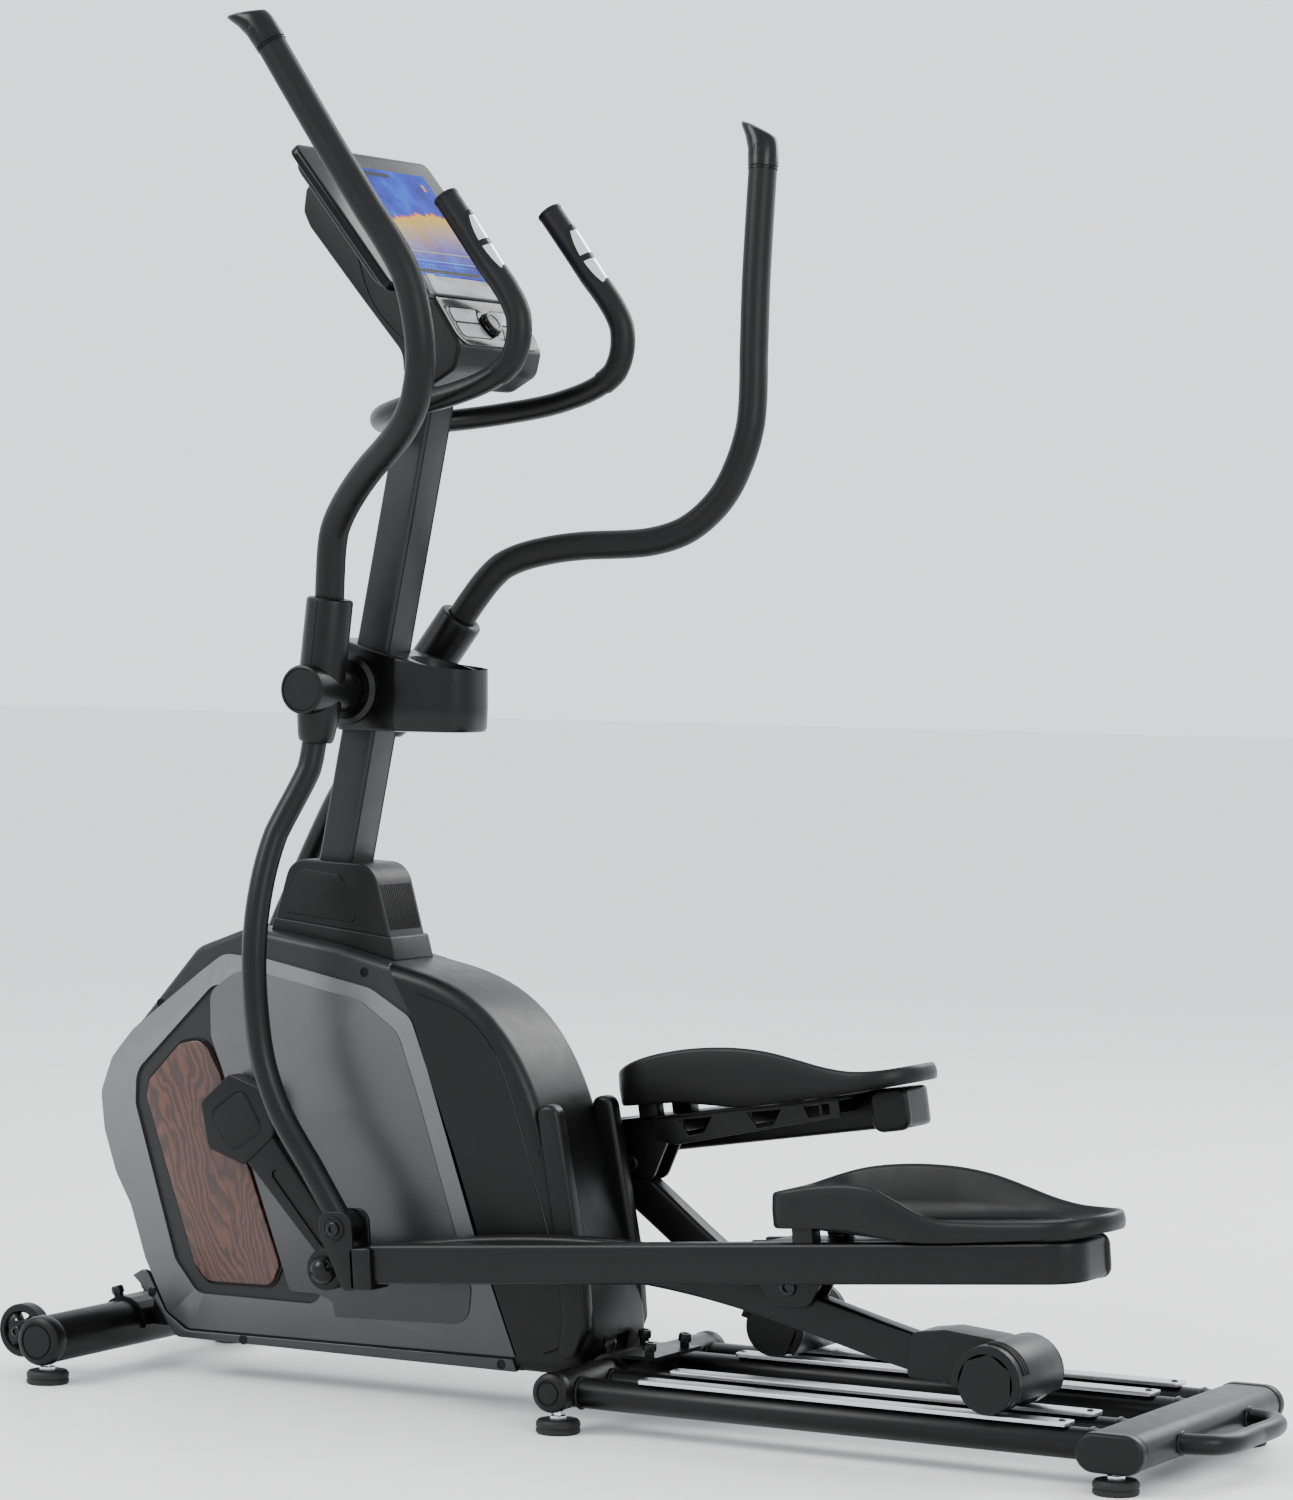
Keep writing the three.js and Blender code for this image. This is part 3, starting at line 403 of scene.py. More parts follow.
def skin(rings, closed_ends=True, loop=False):
    """Faces between rings of equal length, with the two ends filled."""
    bm = bmesh.new()
    rows = [[bm.verts.new(p) for p in ring] for ring in rings]
    count = len(rows[0])
    pairs = list(zip(rows, rows[1:])) + ([(rows[-1], rows[0])] if loop else [])
    for a, b in pairs:
        for i in range(count):
            bm.faces.new((a[i - 1], a[i], b[i], b[i - 1]))
    if closed_ends and not loop:
        bm.faces.new(rows[0])
        bm.faces.new(rows[-1])
    return bm


def lathe(profile, sides=40, loop=False):
    """A turned shape about Z: the profile is (radius, height)."""
    tiny = 1e-3
    rings = [[(max(r, tiny) * math.cos(2 * PI * i / sides), max(r, tiny) * math.sin(2 * PI * i / sides),
        h) for i in range(sides)] for r, h in profile]
    return skin(rings, loop=loop)


def turned(r, h0, h1, edge=1.0, sides=40, bore=0.0):
    """The profile of a disc or bar with rounded rims, or of a ring if it has a bore."""
    c = edge * 0.3
    outer = [(r - edge, h0), (r - c, h0 + c), (r, h0 + edge), (r, h1 - edge), (r - c, h1 - c), (r - edge, h1)]
    if bore > 0:
        return lathe([(bore, h0), *outer, (bore, h1)], sides, loop=True)
    return lathe([(0, h0), *outer, (0, h1)], sides)


def along_y(x, z, s=1, y=0.0):
    """Stands a turned shape up along Y, mirrored to the side of the sign."""
    return Matrix.Translation((x, s * y, z)) @ Matrix.Rotation(-s * PI / 2, 4, "X")


def aimed(at, direction):
    return Matrix.Translation(at) @ Vector(direction).to_track_quat("Z", "X").to_matrix().to_4x4()


def smooth_path(points, spacing=7.0):
    """A centripetal Catmull-Rom curve through the points."""
    pts = [Vector(p) for p in points]
    pts = [pts[0] * 2 - pts[1], *pts, pts[-1] * 2 - pts[-2]]
    made = []
    for i in range(1, len(pts) - 2):
        p = pts[i - 1:i + 3]
        t = [0.0]
        for a, b in zip(p, p[1:]):
            t.append(t[-1] + (b - a).length ** 0.5)
        steps = max(2, round((p[2] - p[1]).length / spacing))
        for k in range(steps + (i == len(pts) - 3)):
            u = t[1] + (t[2] - t[1]) * k / steps
            row = p
            for level in range(1, 4):
                row = [row[j] * ((t[j + level] - u) / (t[j + level] - t[j])) + row[j + 1]
                    * ((u - t[j]) / (t[j + level] - t[j])) for j in range(len(row) - 1)]
            made.append(row[0])
    return made


def tube(path, radius, sides=26, round_ends=2.0):
    """A round bar along a path. The radius is a number or a function of the share of the length."""
    size = radius if callable(radius) else (lambda share: radius)
    lengths = [0.0]
    for a, b in zip(path, path[1:]):
        lengths.append(lengths[-1] + (b - a).length)
    ahead = (path[1] - path[0]).normalized()
    side = ahead.orthogonal().normalized()
    rings = []
    for i, point in enumerate(path):
        new = (path[min(i + 1, len(path) - 1)] - path[max(i - 1, 0)]).normalized()
        side = (ahead.rotation_difference(new) @ side).normalized()
        ahead = new
        up = ahead.cross(side)
        r = size(lengths[i] / lengths[-1])
        ring = [side * math.cos(2 * PI * k / sides) + up * math.sin(2 * PI * k / sides) for k in range(sides)]
        if i == 0:
            rings.append([point + d * (r - round_ends) for d in ring])
            rings.append([point + ahead * round_ends * 0.3 + d * (r - round_ends * 0.3) for d in ring])
            point = point + ahead * round_ends
        if i == len(path) - 1:
            rings.append([point - ahead * round_ends + d * r for d in ring])
            rings.append([point - ahead * round_ends * 0.3 + d * (r - round_ends * 0.3) for d in ring])
            rings.append([point + d * (r - round_ends) for d in ring])
        else:
            rings.append([point + d * r for d in ring])
    return skin(rings)


def to_object(bm, name):
    mesh = bpy.data.meshes.new(name)
    bm.to_mesh(mesh)
    bm.free()
    made = bpy.data.objects.new(name, mesh)
    bpy.context.collection.objects.link(made)
    return made


def carved(bm, cutters, kind="DIFFERENCE"):
    """The shape with the cutters taken out of it, or joined to it."""
    body = to_object(bm, "carving")
    tools = [to_object(c, "cutter") for c in cutters]
    for tool in tools:
        change = body.modifiers.new("cut", "BOOLEAN")
        change.operation, change.solver, change.object = kind, "EXACT", tool
    bpy.context.view_layer.update()
    result = bmesh.new()
    result.from_mesh(body.evaluated_get(bpy.context.evaluated_depsgraph_get()).to_mesh())
    for used in [body, *tools]:
        bpy.data.objects.remove(used)
    return result


def emit(name, bm, look, nodes=(), place=None, body="base", crease=32):
    """Turns a shape into a named piece that rides a body and may stand for CAD nodes."""
    bmesh.ops.recalc_face_normals(bm, faces=bm.faces)
    if place is not None:
        bm.transform(place)
    bm.transform(Matrix.Scale(MM, 4))
    for face in bm.faces:
        face.smooth = True
    for edge in bm.edges:
        edge.smooth = len(edge.link_faces) == 2 and edge.calc_face_angle(0.0) < math.radians(crease)
    piece = to_object(bm, name)
    piece.data.materials.append(look)
    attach(piece, body)
    if nodes:
        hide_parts(*nodes)
    return piece


def screw(name, at, direction, r, height, body, look=BLACK_SCREW, place=None):
    """A socket screw with a domed head."""
    profile = [(0, height * 0.35), (r * 0.48, height * 0.35), (r * 0.52, height), (r * 0.8, height),
        (r * 0.95, height * 0.8), (r, height * 0.45), (r, -2), (0, -2)]
    spot = aimed(at, direction)
    emit(name, lathe(profile, 24), look, place=spot if place is None else place @ spot, body=body)


def hinge_frame(x, z, angle):
    return Matrix.Translation((x, 0, z)) @ Matrix.Rotation(angle, 4, "Y")


def adder(side, body, place):
    """A function that adds one side's pieces to a body, placed in the body's own frame."""
    def add(name, bm, look, nodes=(), at=Matrix(), crease=32):
        emit(f"{name}_{side}", bm, look, nodes, place @ at, body, crease)
    return add


def span(s, a, b):
    return (min(s * a, s * b), max(s * a, s * b))


# ---- Base frame ----

FRONT = {"x": -746, "z": 57, "r": 31, "half": 243}
MID = {"x": 0, "z": 52, "r": 24, "half": 214}
REAR = {"x": 748, "z": 49.4, "w": 85, "h": 45, "half": 223}
RAILS = (-169.5, -88, 88, 169.5)
RAIL_Z = 49.5
TRACK_TOP = 74
LIFT_Z = 49.4
LIFT_END = 841.0


def weld(name, at, direction, r):
    bead = [(r + 2.6 * math.cos(a * PI / 4), 2.6 * math.sin(a * PI / 4)) for a in range(8)]
    emit(name, lathe(bead, 36, loop=True), POWDER, place=aimed(at, direction))


def stadium(w, h, x=0.0, z=0.0):
    r = h / 2
    return [Vector((x + sx * (w / 2 - r) + r * math.cos(a0 + k * PI / 12),
        z + r * math.sin(a0 + k * PI / 12))) for sx, a0 in ((1, -PI / 2), (-1, PI / 2)) for k in range(13)]


def base_frame():
    emit("front_tube", turned(FRONT["r"], -222, 222, 1.5, 56), POWDER, ["front_stabilizer"],
        along_y(FRONT["x"], FRONT["z"]))
    emit("middle_tube", turned(MID["r"], -196, 196, 1, 48), POWDER, ["mid_cross_tube"],
        along_y(MID["x"], MID["z"]))
    emit("rear_tube", prism(stadium(REAR["w"], REAR["h"], REAR["x"], REAR["z"]), -204, 204, 0.8), POWDER_GREY,
        ["rear_cross_tube"])
    for side, s in BOTH:
        for name, tube_data, start, lip in (("front", FRONT, 222, 1.4), ("middle", MID, 196, 1.0)):
            r, end = tube_data["r"] + lip, tube_data["half"]
            cap = [(0, start - 6), (r - 3, start - 6), (r, start), (r, end - 9), (r - 1.4, end - 4),
                (r - 5, end - 1), (r - 9, end - 0.4), (r - 10, end - 2.2), (r - 11.4, end - 2.2),
                (r - 12.4, end - 0.4), (0, end)]
            emit(f"{name}_tube_cap_{side}", lathe(cap, 56), PLASTIC, place=along_y(tube_data["x"],
                tube_data["z"], s))
        outline = stadium(REAR["w"] + 2, REAR["h"] + 2, REAR["x"], REAR["z"])
        emit(f"rear_tube_cap_{side}", prism(outline, s * 204, s * 223, 5, segments=4), PLASTIC)
        wheel_bracket(side, s)
    for i, y in enumerate(RAILS):
        rail = turned(19, 12, REAR["x"] - 24, 1, 40)
        emit(f"rail_{i + 1}", rail, POWDER, [f"rail_tube_{i + 1}"], aimed((0, y, RAIL_Z), (1, 0, 0)))
        weld(f"rail_weld_front_{i + 1}", (24.4, y, RAIL_Z), (1, 0, 0), 18.6)
        weld(f"rail_weld_rear_{i + 1}", (705.5, y, RAIL_Z), (1, 0, 0), 18.6)
        strip = rounded([(107, y - 15, 6), (678, y - 15, 6), (678, y + 15, 6), (107, y + 15, 6)], 6)
        emit(f"track_strip_{i + 1}", prism(strip, TRACK_TOP - 5, TRACK_TOP, 0.7, "XY"), BRUSHED,
            [f"track_{i + 1}"])
        for end, x, rise in (("front", 111.8, 0.7), ("rear", 667, 1.8)):
            screw(f"track_screw_{end}_{i + 1}", (x, y, TRACK_TOP), (0, 0, 1), 4.2, rise, "base")
    half = [(762, 105), (799.6, 105), (829, 92.4), (LIFT_END, 63)]
    loop = [(x, -y, LIFT_Z) for x, y in half] + [(LIFT_END, 0, LIFT_Z)] + [(x, y, LIFT_Z) for x,
        y in half[::-1]]
    emit("lift_grip", tube(smooth_path(loop, 5), 12.4, 28), POWDER, ["lift_handle"])
    for side, s in BOTH:
        weld(f"lift_grip_weld_{side}", (791.2, s * 105, LIFT_Z), (1, 0, 0), 12.2)


def wheel_bracket(side, s):
    lug = rounded([(-746, 35, 2), (-820, 44, 0), (-833, 46, 10), (-833, 70, 10), (-820, 71, 0),
        (-746, 81, 2)])
    for k, y in enumerate((146, 179)):
        emit(f"wheel_lug_{k + 1}_{side}", prism(lug, s * y, s * (y + 5), 1.2), POWDER)
    emit(f"wheel_bolt_{side}", turned(5, 147, 183, 0.8, 24), BLACK_SCREW, place=along_y(*WHEEL_AXIS, s))
    screw(f"wheel_screw_{side}", (WHEEL_AXIS[0], s * 184, WHEEL_AXIS[1]), (0, s, 0), 7.5, 3.5, "base")
    tyre = [(24, -8), (26, -11), (33, -11), (35, -9), (35, 9), (33, 11), (26, 11), (24, 8)]
    body = f"wheel_{side}"
    spot = Matrix.Translation((WHEEL_AXIS[0], s * 165, WHEEL_AXIS[1])) @ Matrix.Rotation(PI / 2, 4, "X")
    emit(f"carrying_wheel_{side}", lathe(tyre, 44, loop=True), PLASTIC, [f"transport_wheel_{side}"], spot,
        body=body)
    hub = [(5.8, -10), (10, -10), (11, -9), (11, 9), (10, 10), (5.8, 10)]
    emit(f"carrying_wheel_hub_{side}", lathe(hub, 32, loop=True), PLASTIC, place=spot, body=body)
    for k in range(6):
        spoke = block((9, 26), (-2.2, 2.2), (-6, 6), 1)
        emit(f"carrying_wheel_spoke_{k + 1}_{side}", spoke, PLASTIC, place=spot @ Matrix.Rotation(k * PI / 3,
            4, "Z"), body=body)


def feet():
    rows = (("front", -746, 217, 26), ("middle", 0, 187, 28), ("rear", 748, 198, 26.9))
    pad = [(0, 0), (25.5, 0), (27.5, 2), (27.5, 6), (26.4, 7), (26.4, 8), (27.5, 9), (27.5, 14), (25, 17.2),
        (21, 18), (0, 18)]
    for row, x, y, top in rows:
        for side, s in BOTH:
            at = Matrix.Translation((x, s * y, 0))
            body = f"leveller_{row}_{side}"
            emit(f"foot_pad_{row}_{side}", lathe(pad, 48), FOOT_RUBBER, [f"foot_{row}_{side}"], at, body=body)
            emit(f"foot_nut_{row}_{side}", lathe([(0, 17), (11.5, 17), (11.5, 22), (10.4, 23), (0, 23)], 6),
                CHROME, place=at, body=body, crease=20)
            emit(f"foot_stud_{row}_{side}", turned(6, 17, top - 0.2, 0.5, 24), CHROME, place=at, body=body)


# ---- Housing ----

FRONT_EDGE = [
    (-400, 574), (-538, 594, 42), (-616, 565, 40), (-712, 456, 40), (-746, 414, 30), (-763, 368, 36),
    (-757, 318, 40), (-738, 262, 60), (-688, 138, 30), (-673, 97, 20), (-622, 53, 30), (-70, 50)
]
REAR_EDGE = [
    (-70, 50, 0), (-44, 55, 0), (-27, 70, 0), (-20, 95, 0), (-22, 128, 0), (-34, 175, 0), (-62, 270, 0),
    (-92, 362, 0), (-112, 412, 0), (-138, 457, 0), (-172, 496, 0), (-212, 524, 0), (-264, 544, 0),
    (-325, 557, 0), (-400, 574, 0)
]
SEAM = [(-322, 640), (-322, 556, 30), (-282, 489, 40), (-186, 217), (-124, 66), (-110, 20)]
SILVER_EDGE = [
    (-712, 454, 8), (-608, 533, 20), (-570, 560, 34), (-501, 555, 20), (-345, 525, 60), (-284, 490, 30),
    (-218, 325), (-158, 159), (-121, 68, 4), (-620, 64, 16), (-654, 84, 18), (-690, 151, 10), (-714, 221),
    (-738, 262, 60), (-757, 318, 40), (-763, 368, 36), (-746, 414, 24), (-733, 430, 8)
]
FIELD_EDGE = [
    (-548, 538, 40), (-501, 534, 20), (-360, 507, 40), (-303, 470, 40), (-270, 384), (-190, 149, 10),
    (-194, 104, 34), (-392, 98, 4), (-397, 118, 8), (-420, 126, 12), (-462, 126, 8), (-570, 408, 30),
    (-588, 450, 30), (-590, 508, 24)
]
RECESS = [
    (-560, 520, 34), (-588, 516, 24), (-706, 398, 34), (-707, 355, 30), (-642, 154, 30), (-606, 112, 24),
    (-425, 112, 30), (-412, 128, 10), (-462, 150, 20), (-560, 418, 30), (-574, 452, 30)
]
WOOD = [
    (-636, 438, 14), (-600, 446, 26), (-574, 402, 30), (-478, 158, 14), (-490, 131, 16), (-590, 129, 20),
    (-609, 150, 14), (-688, 365, 12), (-684, 388, 10)
]
SHELL_SCREWS = [
    (-671, 488, 76), (-357, 544, 76), (-677, 108, 81.8), (-533, 57, 81.8), (-144, 58, 81.8), (-89, 329, 79.6)
]
SKIRT = [
    (-688, 140, 10), (-708, 128, 0), (-673, 97, 12), (-640, 52, 16), (-122, 50, 2), (-128, 66, 2),
    (-622, 62, 18), (-656, 84, 18)
]


def half_shell(sign, seam_side):
    """One part of the housing as a hollow shell with a generous edge radius."""
    outline = rounded(FRONT_EDGE, 8) + [Vector(p[:2]) for p in smooth_path(REAR_EDGE, 14)[1:-1]]
    outer = prism(outline, -76, 76, 10, segments=5) if seam_side else prism(outline, -80, 80, 22, segments=7)
    inner = prism(grown(outline, -5), -71, 71, 18, segments=3)
    ahead = [(x - 0.5, z) for x, z, *_ in SEAM] + [(-900, 20), (-900, 640)]
    behind = [(x + 0.3, z) for x, z, *_ in SEAM] + [(100, 20), (100, 640)]
    keep = prism([Vector(p) for p in (ahead if seam_side else behind)], -120, 120, 0)
    spine = prism([Vector(p) for p in ((-800, 20), (100, 20), (100, 97), (-800, 97))], -27, 27, 0)
    bores = [(turned(40, -60, 60, 1, 40), (FRONT["x"], FRONT["z"])),
             (turned(33, -100, 100, 1, 40), (MID["x"], MID["z"])),
             (lathe([(0, -100), (15, -100), (15, 100), (0, 100)], 32), CRANK_AXIS)]
    for bore, axis in bores:
        bore.transform(along_y(*axis))
    tools = [inner, spine, *(bore for bore, _ in bores)]
    shell = carved(carved(outer, [keep], "INTERSECT"), tools)
    if seam_side:
        half = block((-900, 200), (0.2, 200) if sign > 0 else (-200, -0.2), (0, 700), 0.01, 1)
        shell = carved(shell, [half], "INTERSECT")
    return shell


def housing():
    axle_hole = circle(15, CRANK_AXIS, -1)
    recess = rounded(RECESS, 6)
    for side, s in BOTH:
        emit(f"housing_side_{side}", half_shell(s, True), DARK_SILVER, [f"housing_{side}"])
        silver = prism(grown(rounded(SILVER_EDGE, 8), -1), s * 70, s * 80, 3.2, holes=[recess, axle_hole],
            segments=4)
        emit(f"silver_panel_{side}", silver, SILVER_WITH_PAINTED_HIGHLIGHT)
        field = prism(rounded(FIELD_EDGE, 8), s * 79, s * 81.4, 1.2, holes=[axle_hole])
        emit(f"silver_field_{side}", field, SILVER_WITH_PAINTED_SHADE)
        emit(f"skirt_{side}", prism(rounded(SKIRT, 6), s * 72, s * 81.8, 2.4), SILVER_WITH_PAINTED_SHADE)
        emit(f"walnut_inlay_{side}", prism(rounded(WOOD, 8), s * 76, s * 83.2, 1.8), WALNUT,
            [f"wood_panel_{side}"])
        # A gloss black ring round the walnut, below its face: a painted shadow of the pocket's edge.
        shadow = prism(grown(rounded(WOOD, 8), 3.6), s * 75, s * 78.4, 0.8)
        emit(f"inlay_painted_shadow_{side}", shadow, GLOSS_BLACK)
        for k, (x, z, y) in enumerate(SHELL_SCREWS):
            well = [(0, 0.2), (3.4, 0.2), (3.8, 0.9), (5.6, 0.9), (6.4, 0.3), (6.4, -2), (0, -2)]
            emit(f"housing_screw_{k + 1}_{side}", lathe(well, 24), GLOSS_BLACK, place=along_y(x, z, s, y))
        band_line = [(-276, 520), (-220, 504), (-178, 474), (-148, 430), (-126, 372), (-104, 306), (-70, 200),
            (-52, 128), (-58, 88), (-84, 76)]
        path = smooth_path([(x, s * 80, z) for x, z in band_line], 6)
        emit(f"band_groove_{side}", tube(path, 1.3, 10, 0.4), GLOSS_BLACK)
        blister = rounded([(-92, 388, 14), (-62, 392, 16), (-20, 180, 20), (-14, 110, 20), (-30, 70, 18),
            (-58, 72, 18), (-52, 120, 20), (-60, 190, 30)], 6)
        emit(f"band_blister_{side}", prism([p + Vector((-7, 0)) for p in blister], s * 58, s * 83, 7,
            segments=4), BAND)
    emit("housing_band", half_shell(0, False), BAND, ["housing_rear_band"])


# ---- Mast ----

MAST_SLOPE = 0.194
MAST_FOOT, MAST_TOP = 560, 1322
BAR_Z = 1250
LEAN = math.atan(MAST_SLOPE)


def mast_x(z):
    return -390 + MAST_SLOPE * (z - SWING_AXIS[1])


def mast_frame(z):
    return Matrix.Translation((mast_x(z), 0, z)) @ Matrix.Rotation(LEAN, 4, "Y")


def mast_slot(z, low, high):
    """A cutter that leaves room for the mast."""
    made = prism(rounded(oblong(26, 31, 7), 5), low, high, 0, "XY")
    made.transform(mast_frame(z))
    return made


def mast():
    section = rounded(oblong(25, 30, 7), 6)
    length = (MAST_TOP - MAST_FOOT) / math.cos(LEAN)
    emit("mast_post", prism(section, 0, length, 1, "XY"), POWDER_GREY, ["mast"], mast_frame(MAST_FOOT))
    for side, s in BOTH:
        groove = block((24.2, 25.4), span(s, 24.6, 26), (60, length - 40), 0.3, 1)
        emit(f"mast_groove_{side}", groove, GLOSS_BLACK, place=mast_frame(MAST_FOOT))
    body = rounded([(-518, 592, 4), (-492, 684, 30), (-366, 680, 34), (-332, 560, 4)], 8)
    emit("boot", prism(body, -44, 44, 9, segments=5), PLASTIC, ["mast_boot"])
    foot = rounded([(-519.5, 584, 3), (-514, 607, 3), (-336, 588, 4), (-327, 556, 3)], 4)
    emit("boot_collar", prism(foot, -47.5, 47.5, 5, segments=3), PLASTIC)
    for side, s in BOTH:
        panel = rounded([(-500, 614, 6), (-482, 672, 18), (-412, 664, 18), (-389, 604, 8)], 6)
        groove = prism(grown(panel, 0.9), s * 42, s * 44.5, 0.4)
        emit(f"boot_line_{side}", groove, GLOSS_BLACK)
        emit(f"boot_panel_{side}", prism(panel, s * 42, s * 45.1, 0.8), PLASTIC)
    lean = Vector((-366 + 332, 0, 680 - 560)).normalized()
    for k in range(17):
        a = Vector((-342.4, -36 + 4.5 * k, 596))
        emit(f"boot_rib_{k + 1}", tube([a, a + lean * 30, a + lean * 60], 1.3, 10, 0.5), PLASTIC)


def bottle_holder():
    """The cup behind the mast, with a collar round the swing axle on each side."""
    plan = rounded([(-430, -48, 22), (-330, -53, 30), (-234, -47, 44), (-234, 47, 44), (-330, 53, 30),
        (-430, 48, 22)], 8)

    def ring(distance, z, slope=0.0):
        return [(p.x, p.y, z - slope * (p.x + 430)) for p in grown(plan, distance)]

    shell = skin([ring(-9, 852), ring(-3, 853), ring(-0.5, 857), ring(0.5, 885), ring(0, 952, 0.1),
        ring(-1, 970, 0.24), ring(-3, 972, 0.245), ring(-7, 972.6, 0.245)])
    cup = [(0, 866), (34, 866), (37.5, 868), (39, 872), (40.5, 950), (44, 980), (0, 980)]
    pocket = lathe(cup, 48)
    pocket.transform(Matrix.Translation((-289, 0, 0)) @ Matrix.Diagonal((1.1, 1, 1, 1)))
    post = mast_slot(SWING_AXIS[1], -80, 90)
    emit("cup_holder", carved(shell, [pocket, post]), SMOOTH_PLASTIC, ["bottle_holder"])
    for side, s in BOTH:
        collar = [(10.8, 46), (44, 46), (46, 49), (45, 56), (39, 60.4), (30, 61), (28, 59.4), (10.8, 59.4)]
        emit(f"axle_collar_{side}", lathe(collar, 48, loop=True), SMOOTH_PLASTIC,
            place=along_y(*SWING_AXIS, s))


# ---- Fixed bar and console ----

BAR = [
    (-215, 130, 1527), (-150, 131, 1441), (-106, 132, 1376), (-116, 133, 1318), (-182, 133, 1284),
    (-262, 124, 1267), (-326, 88, 1256), (-360, 40, 1250)
]


def fixed_bar():
    whole = [(x, -y, z) for x, y, z in BAR] + [(mast_x(BAR_Z) - 42, 0, 1249)] + BAR[::-1]
    emit("fixed_bar", tube(smooth_path(whole, 6), 14.6, 26), POWDER, ["fixed_handlebar"])
    clamp = block((mast_x(BAR_Z) - 42, mast_x(BAR_Z) - 25), (-24, 24), (1224, 1274), 4, 3)
    emit("bar_clamp", clamp, POWDER)
    for k, z in enumerate((1232, 1266)):
        screw(f"bar_clamp_screw_{k + 1}", (mast_x(BAR_Z) - 42, -18, z), (-1, 0, 0), 6, 4, "base")
    for side, s in BOTH:
        line = smooth_path([(x, s * y, z) for x, y, z in BAR[:6]], 6)
        sleeve = [p for p in line if p.x < -100 or p.z > 1300][:46]
        emit(f"fixed_grip_{side}", tube(sleeve, 16.2, 30, 1.2), GRIP)
        end = Vector((-215, s * 130, 1527))
        up = (line[0] - line[1]).normalized()
        cap = [(0, -3), (16.6, -3), (17, -1), (16.6, 1), (14, 2.2), (0, 2.6)]
        emit(f"fixed_grip_cap_{side}", lathe(cap, 32), PLASTIC, place=aimed(end - up * 1.5, up))
        sensor(side, s)


def sensor(side, s):
    """A pulse sensor: an oval black pad set in the grip with two bright plates facing the user."""
    low, high = Vector((-134, s * 131.4, 1417)), Vector((-194, s * 130.2, 1500))
    along = (high - low).normalized()
    length = (high - low).length
    outward = Vector((0.81, s * -0.1, 0.585)).normalized()
    outward = (outward - along * outward.dot(along)).normalized()
    across = along.cross(outward)
    middle = (low + high) / 2

    def patch(t0, t1, wide, radius, rows=14, columns=12):
        rings = []
        for lift in (0.0, 1.0):
            for i in range(rows + 1):
                t = t0 + (t1 - t0) * i / rows
                reach = max(0.03, 1 - (2 * t) ** 2) ** 0.5 * wide
                row = []
                for j in range(columns + 1):
                    a = reach * (2 * j / columns - 1)
                    spoke = outward * math.cos(a) + across * math.sin(a)
                    row.append(middle + along * t * length + spoke * (radius - 2.4 * (1 - lift)))
                rings.append(row)
        bm = bmesh.new()
        sheets = [[[bm.verts.new(p) for p in row] for row in rings[:rows + 1]],
            [[bm.verts.new(p) for p in row] for row in rings[rows + 1:]]]
        for sheet in sheets:
            for a, b in zip(sheet, sheet[1:]):
                for j in range(columns):
                    bm.faces.new((a[j], a[j + 1], b[j + 1], b[j]))
        inner, outer = sheets
        edge_in = inner[0] + [r[-1] for r in inner[1:]] + inner[-1][-2::-1] + [r[0] for r in inner[-2:0:-1]]
        edge_out = outer[0] + [r[-1] for r in outer[1:]] + outer[-1][-2::-1] + [r[0] for r in outer[-2:0:-1]]
        for i in range(len(edge_in)):
            bm.faces.new((edge_in[i - 1], edge_in[i], edge_out[i], edge_out[i - 1]))
        return bm

    emit(f"sensor_pad_{side}", patch(-0.49, 0.49, 1.35, 17.6), SMOOTH_PLASTIC)
    for k, (t0, t1) in enumerate(((-0.4, -0.045), (0.045, 0.4))):
        emit(f"sensor_plate_{k + 1}_{side}", patch(t0, t1, 0.95, 18.5), CHROME)


KEYPAD = Matrix.Translation((-226, 0, 1372)) @ Matrix.Rotation(0.98, 4, "Y")
SCREEN = Matrix.Translation((SCREEN_AT[0], 0, SCREEN_AT[1])) @ Matrix.Rotation(SCREEN_TILT, 4, "Y")


def key_outline(up, y, gap):
    """A key beside the knob: its inner end is hollowed to leave room for the knob's ring."""
    points = [(-22.5, 86, 10), (-0.9, 86, 3), (-0.9, 27, 2), (-8, 25.5), (-15, 22), (-22.5, 16, 2)]
    way_u, way_v = math.copysign(1, up), math.copysign(1, y)
    shape = rounded([(u * way_u, v * way_v, *rest) for u, v, *rest in points], 5)
    return grown(shape, gap) if gap else shape


